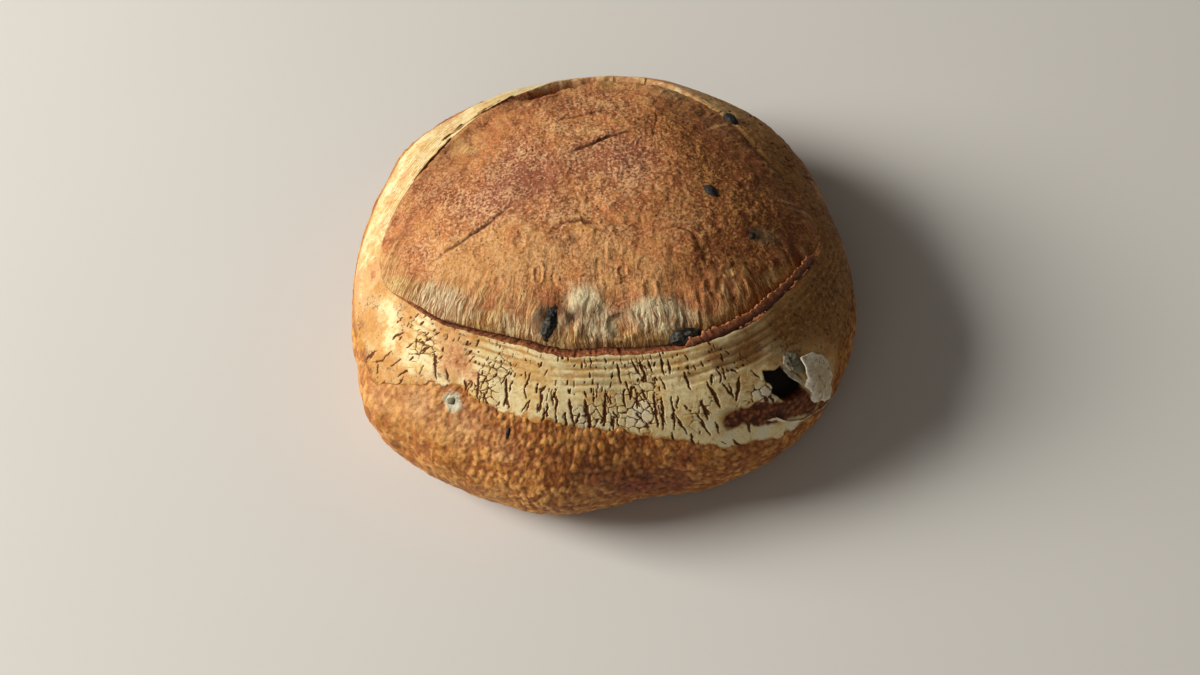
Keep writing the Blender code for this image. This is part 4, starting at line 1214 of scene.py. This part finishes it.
# Painted shade: darker red brown deep in the gully
skin = (noted["deep"] + mottled * 0.4).clear(0.85, 1.2).blend(skin, GULLY_SHADE_RED)
# Small pits, dented by the bump and darkened with painted shade
pits = spot.cells(290).clear(0.17, 0.09) * spot.noise(90, 2).clear(0.42, 0.6)
skin = (pits * 0.75).blend(skin, FOLD_SHADE_BROWN)
skin = (grain.clear(0.35, 0.75) * 0.35).stain(skin, BLOOM_GRAIN)
finish.feed("Base Color", skin)
finish.feed("Specular IOR Level", 0.3)
finish.feed("Roughness", 0.7 - noted["grains"] * 0.12 + grain * 0.1)
height = grain * 0.5 + speck * 0.9 + mottle * 1.1 - pits * 0.8
height = height + hairs * noted["stringy"] * 1.4 + spot.noise(4600, 2) * 0.3
finish.bump(height, 0.0007, 0.85)
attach(bloom, "root")
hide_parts("loaf")


# The torn flap and the curled edges
# Where the crust burst beside an olive, a floury flap stands up and its lower edge tore open in a
# pale line. Along the right of the slash, and at the back left, strips of the edge curled over.

# The flap and the rim of skin by the olive as outlines, and the torn and curled edges as lines, all
# as (degrees, reach in millimetres)
FLAP = (
    (326.6, -25.2), (328.4, -26.2), (330.6, -28.4), (332.4, -33.0), (332.7, -38.4), (331.6, -42.0),
    (331.7, -46.4), (330.0, -49.0), (330.4, -54.0), (329.6, -60.2), (327.5, -57.6), (326.4, -53.2),
    (324.2, -50.0), (323.7, -46.5), (324.6, -43.4), (323.9, -39.0), (325.2, -36.2), (325.8, -31.5),
)
TORN_LINE = (
    (312.6, -44.6), (314.7, -46.0), (316.5, -51.0), (320.2, -56.4), (323.9, -58.4), (327.5, -61.6),
    (330.8, -64.0), (333.6, -66.0),
)
OLIVE_RIM = (
    (324.6, -20.6), (323.1, -23.6), (322.3, -27.4), (322.5, -31.2), (323.3, -35.0), (324.0, -38.8),
    (324.6, -36.8), (324.1, -33.2), (323.7, -29.0), (324.1, -25.2), (325.4, -22.2),
)
CURLED_EDGE = (
    (303.0, 0.6), (306.0, 1.4), (310.5, 2.2), (316.3, 2.5), (323.3, 2.6), (329.1, 2.5), (334.7, 2.1),
    (341.8, 2.2), (346.4, 2.4), (351.1, 2.2), (354.5, 1.6),
)
# Small tears of the edge at the back left
BACK_TEARS = (
    ((118.0, -1.2), (122.5, -0.4), (127.0, -0.9), (131.0, -2.0)),
    ((129.0, -3.2), (133.5, -2.6), (138.0, -3.6), (141.5, -5.0)),
    ((136.0, -7.2), (140.0, -6.4), (144.5, -7.0)),
    ((143.0, -0.8), (149.0, -0.3), (156.0, -0.9), (161.0, -1.6)),
    ((122.0, -6.0), (126.0, -5.4), (130.5, -6.6)),
)


# A flake's section: share of the outline, height as a share of the thickness, and how near the rim
FLAKE_SECTION = (
    (0.02, -0.6, 0), (0.5, -0.6, 0), (0.96, -0.5, 0.6), (1.0, -0.1, 1), (0.99, 0.5, 1), (0.95, 0.85, 1),
    (0.86, 1, 0.7), (0.7, 1, 0.3), (0.5, 1, 0), (0.3, 1, 0), (0.12, 1, 0),
)
# Where the bloom's crust takes over from the floured one, and how thick the flour's skin is
BLOOM_FROM_MM, FLOUR_SKIN_MM = 2.6, 0.16
# Spacing of the points round a flake, points round a curled strip, and their spacing along it
EDGE_STEP, CURL_SIDES, CURL_STEP_MM = 0.35, 16, 0.35
# The depth and height of the crust's relief that a curled strip follows
LOWEST_MM, HIGHEST_MM = -1.2, 4


def relief_at(theta, reach):
    """Height of whatever crust lies there."""
    on_bloom = bloom_layers(theta, np.maximum(reach, 0))[1]
    on_band = band_relief(theta, reach, crust(theta, reach))[0] + FLOUR_SKIN_MM * MM
    return np.where(reach > BLOOM_FROM_MM * MM, on_bloom, on_band)


def even_outline(corners, step):
    """An outline with its sides divided into even steps."""
    points = []
    for (ax, ay), (bx, by) in zip(corners, corners[1:] + corners[:1]):
        count = max(1, round(math.hypot(bx - ax, by - ay) / step))
        points += [(ax + (bx - ax) * k / count, ay + (by - ay) * k / count) for k in range(count)]
    return points


def flake(name, outline, thick, stand, seed):
    """A ragged flake of crust lying on the loaf. stand is how far it lifts, in millimetres, as a
    function of the azimuth and the reach."""
    middle = np.mean(outline, axis=0)
    corners = np.array(even_outline(outline, EDGE_STEP))
    turns = np.linspace(0, 2 * math.pi, len(corners), endpoint=False)
    wobble = np.stack([np.cos(turns) * 9, np.sin(turns) * 9, 0 * turns], axis=-1)
    scale = 1 + 0.035 * waves(wobble, 1.9, seed) + 0.025 * waves(wobble, 0.7, seed + 1)
    corners = middle + (corners - middle) * scale[:, None]
    rings, rims = [], []
    for keep, height, rim in FLAKE_SECTION:
        spots = middle + (corners - middle) * keep
        theta, reach = np.radians(spots[:, 0]), spots[:, 1] * MM
        hollow = np.maximum(relief_at(theta, reach), -0.2 * MM)
        rough_top = 0.22 * rough(crust(theta, reach), 1.6 * MM, seed + 2)
        lift = hollow + (height * thick + stand(spots[:, 0], spots[:, 1]) + rough_top) * MM
        rings.append(crust(theta, reach, lift))
        rims.append(np.full(len(spots), float(rim)))
    for ending, at in ((rings[0], 0), (rings[-1], len(rings))):
        rings.insert(at, np.tile(ending.mean(axis=0), (len(corners), 1)))
        rims.insert(at, np.zeros(len(corners)))
    rings = [ring[::-1] for ring in rings] if turning(corners) < 0 else rings
    return rolled(name, rings, {"rim": rims})


def turning(corners):
    """Above 0 where an outline runs counter-clockwise."""
    after = np.roll(corners, -1, axis=0)
    return float(np.sum(corners[:, 0] * after[:, 1] - after[:, 0] * corners[:, 1]))


def curl(name, line, wide, thick, stand, lean, seed, steps):
    """A ragged strip of crust that follows a line; it stands up and leans over to one side, and
    bridges the deeper hollows."""
    degrees, reaches = np.array(line).T
    along = np.linspace(0, 1, steps)
    knots = np.linspace(0, 1, len(line))
    theta = np.radians(np.interp(along, knots, degrees))
    middle = np.interp(along, knots, reaches)
    spots = np.stack([along * steps * CURL_STEP_MM, 0 * along, 0 * along], axis=-1)
    ragged = 1 + 0.35 * waves(spots, 6, seed) + 0.22 * waves(spots, 2.2, seed + 1)
    ends = np.clip(np.sin(math.pi * along) * 4, 0, 1) ** 0.7
    rings, rims = [], []
    for k in range(CURL_SIDES):
        turn = 2 * math.pi * k / CURL_SIDES
        out, up = math.cos(turn), math.sin(turn)
        top = 0.5 + 0.5 * out
        fray = 1 + 0.4 * waves(spots + np.array((0, k * 0.9, 7)), 1.4, seed + 2)
        reach = middle + wide * 0.5 * out * ragged * ends * fray
        reach = reach + lean * top**2 * ends
        height = stand * top**1.4 * ragged * ends + thick * 0.5 * up * ends * (1 - 0.45 * top)
        base = np.clip(relief_at(theta, middle * MM), LOWEST_MM * MM, HIGHEST_MM * MM)
        rings.append(crust(theta, reach * MM, base + (height - 0.25) * MM))
        rims.append(top * np.ones(steps))
    rings, rims = np.array(rings).transpose(1, 0, 2), np.array(rims).T
    rings[0] = rings[0].mean(axis=0)
    rings[-1] = rings[-1].mean(axis=0)
    return rolled(name, rings, {"rim": rims})


def flap_stand(degrees, reach):
    """The flap lifts most beside the hole and least at its lower end."""
    lifted = 1.5 * smooth(reach, -56, -34) * smooth(degrees, 333, 327)
    return 0.5 + lifted + 0.5 * smooth(degrees, 328, 325)


def rim_stand(degrees, reach):
    """The rim of skin lies low everywhere."""
    return 0.2 + 0 * degrees


SKIN_GREY, SKIN_WHITE, SKIN_BROWN = colour(206, 190, 156), colour(248, 240, 220), colour(160, 112, 66)
RIM_GREY, SKIN_GRAIN, CURL_ORANGE = colour(150, 140, 112), colour(190, 160, 120), colour(190, 118, 72)
torn_pieces = [
    flake("torn_flap", FLAP, 0.8, flap_stand, 151),
    curl("torn_line", TORN_LINE, 2.2, 1.0, 1.2, -0.4, 161, 150),
    flake("olive_rim", OLIVE_RIM, 0.5, rim_stand, 164),
]
for piece in torn_pieces:
    finish = Finish(piece, piece.name)
    spot = finish.place
    mottle = spot.noise(420, 4, 0.65)
    grain = spot.noise(2100, 3, 0.6)
    skin = (mottle + (finish.noted("rim") - 0.5) * 0.3).clear(0.3, 0.7).blend(SKIN_GREY, SKIN_WHITE)
    skin = (spot.noise(330, 4, 0.7).clear(0.54, 0.64) * 0.75).blend(skin, SKIN_BROWN)
    if piece.name == "olive_rim":
        skin = ((mottle - 0.5) * 2 + 0.6).clear(0.2, 1.0).blend(skin, RIM_GREY)
    skin = (grain.clear(0.5, 0.75) * 0.3).stain(skin, SKIN_GRAIN)
    finish.feed("Base Color", skin)
    finish.feed("Roughness", 0.86 + grain * 0.08)
    finish.bump(grain * 0.5 + mottle * 0.7 + spot.noise(4600, 2) * 0.2, 0.0006, 0.6)
    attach(piece, "root")
    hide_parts("loaf")

curls = [curl("curled_edge", CURLED_EDGE, 3.2, 1.2, 1.5, 0.9, 171, 420)]
for k, line in enumerate(BACK_TEARS):
    curls.append(curl("back_tear_%d" % (k + 1), line, 1.9, 0.8, 1.1, 0.6, 180 + 5 * k, 90))
for piece in curls:
    floury = 0.0 if piece.name == "curled_edge" else 0.75
    finish = Finish(piece, piece.name)
    spot = finish.place
    mottle = spot.noise(520, 4, 0.65)
    grain = spot.noise(1900, 3, 0.6)
    rim = finish.noted("rim")
    skin = (mottle + (rim - 0.6) * 0.5).clear(0.35, 0.75).blend(LIP_BROWN, CURL_ORANGE)
    skin = ((rim + (mottle - 0.5) * 1.2).clear(0.3, 0.8) * floury).blend(skin, YELLOW_CREAM)
    skin = ((1 - rim) * 0.9 + (mottle - 0.5) * 0.6).clear(0.45, 0.95).blend(skin, LIP_RED)
    finish.feed("Base Color", skin)
    finish.feed("Roughness", 0.7 + grain * 0.1)
    finish.bump(grain * 0.6 + mottle * 0.9, 0.0007, 0.8)
    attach(piece, "root")
    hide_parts("loaf")


# The olives
# Whole and torn black olives that were folded into the dough. Six of them and two small chips reach
# the crust, their skins dried and wrinkled by the oven; the crust left only a part of each bare.

# Azimuth, share of the belly radius, half sizes along, up and through the crust in millimetres,
# turn in degrees and millimetres further out than the solid olive
OLIVES = {
    "olive_top": (12.1, 0.475, (4.8, 3.1, 4.0), -22, 0),
    "olive_slit": (45.5, 0.765, (5.2, 3.0, 4.4), 6, 0.3),
    "olive_foot": (253.2, 0.487, (4.8, 9.8, 6.2), 0, -0.1),
    "olive_lip": (305.5, 0.635, (7.8, 4.0, 4.6), 0, 0),
    "olive_torn": (325.6, 0.882, (4.4, 4.6, 4.4), 0, 1.0),
    "olive_star": (233.0, 0.835, (3.4, 3.0, 3.4), 0, 0.4),
    "chip_high": (352.5, 0.600, (1.9, 1.3, 1.5), 30, 0.3),
    "chip_low": (249.6, 0.870, (1.0, 3.2, 1.4), 0, 0.3),
}
BLACK_SKIN, DULL_SKIN_AND_SHEEN, GREY_GREEN = colour(18, 15, 14), colour(44, 40, 36), colour(118, 112, 88)
PALE_GREY, DUSTY_AND_HIGHLIGHT_GREY = colour(150, 144, 120), colour(116, 110, 92)
OLIVE_COLUMNS, OLIVE_RINGS = 72, 44
# Azimuth and reach steps from which the directions on the skin are worked out
AZIMUTH_STEP, REACH_STEP_MM = 1e-3, 0.3
# Sizes of the wrinkles along, up and through an olive, and of its dents
WRINKLE_MM, DENT_MM = (1.9, 1.1, 1.5), 3.4


def skin_frame(degrees, share):
    """Directions along, up and out of the skin at a place on the loaf, and the place itself."""
    theta = math.radians(degrees)
    tries = np.linspace(-60, 90, 1501) * MM
    radius = np.linalg.norm(crust(theta, tries)[:, :2] - (POLE_X, POLE_Y), axis=1)
    reach = tries[np.argmin(np.abs(radius - share * float(around(np.array(theta), BELLY_RADII))))]
    here = crust(theta, reach)
    along = crust(theta + AZIMUTH_STEP, reach) - here
    along /= np.linalg.norm(along)
    up = crust(theta, reach + REACH_STEP_MM * MM) - here
    up -= along * np.dot(up, along)
    up /= np.linalg.norm(up)
    return along, up, np.cross(along, up), here


for index, (name, (degrees, share, halves, turn, further)) in enumerate(OLIVES.items()):
    along, up, out, here = skin_frame(degrees, share)
    node = name if name.startswith("olive") else "loaf"
    turn = math.radians(turn)
    long_way = along * math.cos(turn) + up * math.sin(turn)
    cross_way = up * math.cos(turn) - along * math.sin(turn)
    middle = np.mean(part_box(name), axis=0) if node == name else here
    middle = middle + out * further * MM
    spin = np.arange(OLIVE_COLUMNS) * 2 * math.pi / OLIVE_COLUMNS
    rings, folds = [], []
    for tilt in np.linspace(-math.pi / 2, math.pi / 2, OLIVE_RINGS + 1):
        flat, high = np.cos(tilt), np.sin(tilt)
        unit = np.stack([flat * np.cos(spin), flat * np.sin(spin), 0 * spin + high], axis=-1)
        scaled = unit * np.array(halves)
        crease = np.abs(waves(scaled, np.array(WRINKLE_MM), 200 + index)) ** 0.7
        dent = waves(scaled, DENT_MM, 210 + index)
        size = np.array(halves) * MM * (1.0 + 0.05 * dent - 0.10 * (1 - crease) ** 2)[:, None]
        rings.append(middle + (unit * size) @ np.array((long_way, cross_way, out)))
        folds.append(crease)
    olive = rolled(name + "_skin", rings, {"crease": folds})
    finish = Finish(olive, olive.name)
    spot = finish.place
    dust = spot.noise(420, 3, 0.6)
    grain = spot.noise(2400, 3, 0.6)
    # Dull grey on the wrinkle ridges: partly the dried skin, partly painted sheen
    skin = (dust * finish.noted("crease")).clear(0.22, 0.5).blend(BLACK_SKIN, DULL_SKIN_AND_SHEEN)
    if name in ("olive_torn", "olive_star"):
        skin = (dust + (spot.noise(160, 2) - 0.5)).clear(0.3, 0.62).blend(skin, GREY_GREEN)
        skin = (grain.clear(0.5, 0.7) * 0.5).blend(skin, PALE_GREY)
    # Grey on the olives at the bloom's foot and at the lip: partly dusty bloom, partly painted highlight
    if name in ("olive_foot", "olive_lip"):
        skin = ((dust + (grain - 0.5) * 0.5).clear(0.48, 0.7) * 0.55).blend(skin, DUSTY_AND_HIGHLIGHT_GREY)
    finish.feed("Base Color", skin)
    finish.feed("Specular IOR Level", 0.28)
    finish.feed("Roughness", 0.44 + dust * 0.3)
    finish.bump(grain * 0.5 + spot.cells(900), 0.0004, 0.5)
    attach(olive, "root")
    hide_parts(node)


# The studio
# A plain pale floor, one large soft light high on the left, a weak one in front, and a camera that
# looks down at the loaf from the photograph's angle.

bpy.ops.object.select_all(action="DESELECT")
bpy.ops.mesh.primitive_plane_add(size=6, location=(0, 0, -0.0002))
floor = made(bpy.context.object, "floor")
floor.data.transform(Matrix.Translation(floor.location))
floor.location = (0, 0, 0)
finish = Finish(floor, "floor_paint")
FLOOR_GREY, FLOOR_PALE = colour(206, 204, 200), colour(214, 212, 208)
finish.feed("Base Color", finish.place.noise(3, 2).blend(FLOOR_GREY, FLOOR_PALE))
finish.feed("Roughness", 0.8)


def soft_light(name, place, target, size, watts, tint):
    """A square soft light that faces its target."""
    bpy.ops.object.light_add(type="AREA", location=place)
    light = bpy.context.object
    light.name = name
    light.data.shape = "SQUARE"
    light.data.size = size
    light.data.energy = watts
    light.data.color = tint
    light.rotation_euler = (Vector(target) - Vector(place)).to_track_quat("-Z", "Y").to_euler()


soft_light("key_light", (-2.3, 0.11, 1.55), (0, 0, 0.04), 1.3, 110.0, (1.0, 0.965, 0.90))
soft_light("front_light", (-0.7, -2.4, 2.2), (0, 0, 0.03), 1.8, 6.0, (1.0, 0.95, 0.88))
world = bpy.data.worlds.new("soft_room")
world.use_nodes = True
world.node_tree.nodes["Background"].inputs["Color"].default_value = (1.0, 0.90, 0.78, 1)
world.node_tree.nodes["Background"].inputs["Strength"].default_value = 0.11
bpy.context.scene.world = world
bpy.context.scene.view_settings.view_transform = "Standard"

CAMERA_PLACE = (0.071826, -0.448810, 0.754664)
CAMERA_RIGHT = (0.99620, 0.03054, -0.08152)
CAMERA_UP = (0.01465, 0.86428, 0.50280)
CAMERA_BACK = (0.08581, -0.50209, 0.86055)
bpy.ops.object.camera_add(location=CAMERA_PLACE)
camera = bpy.context.object
camera.rotation_euler = Matrix((CAMERA_RIGHT, CAMERA_UP, CAMERA_BACK)).transposed().to_euler()
camera.data.sensor_width = 36
camera.data.lens = 53.52
camera.data.clip_start = 0.01
bpy.context.scene.camera = camera
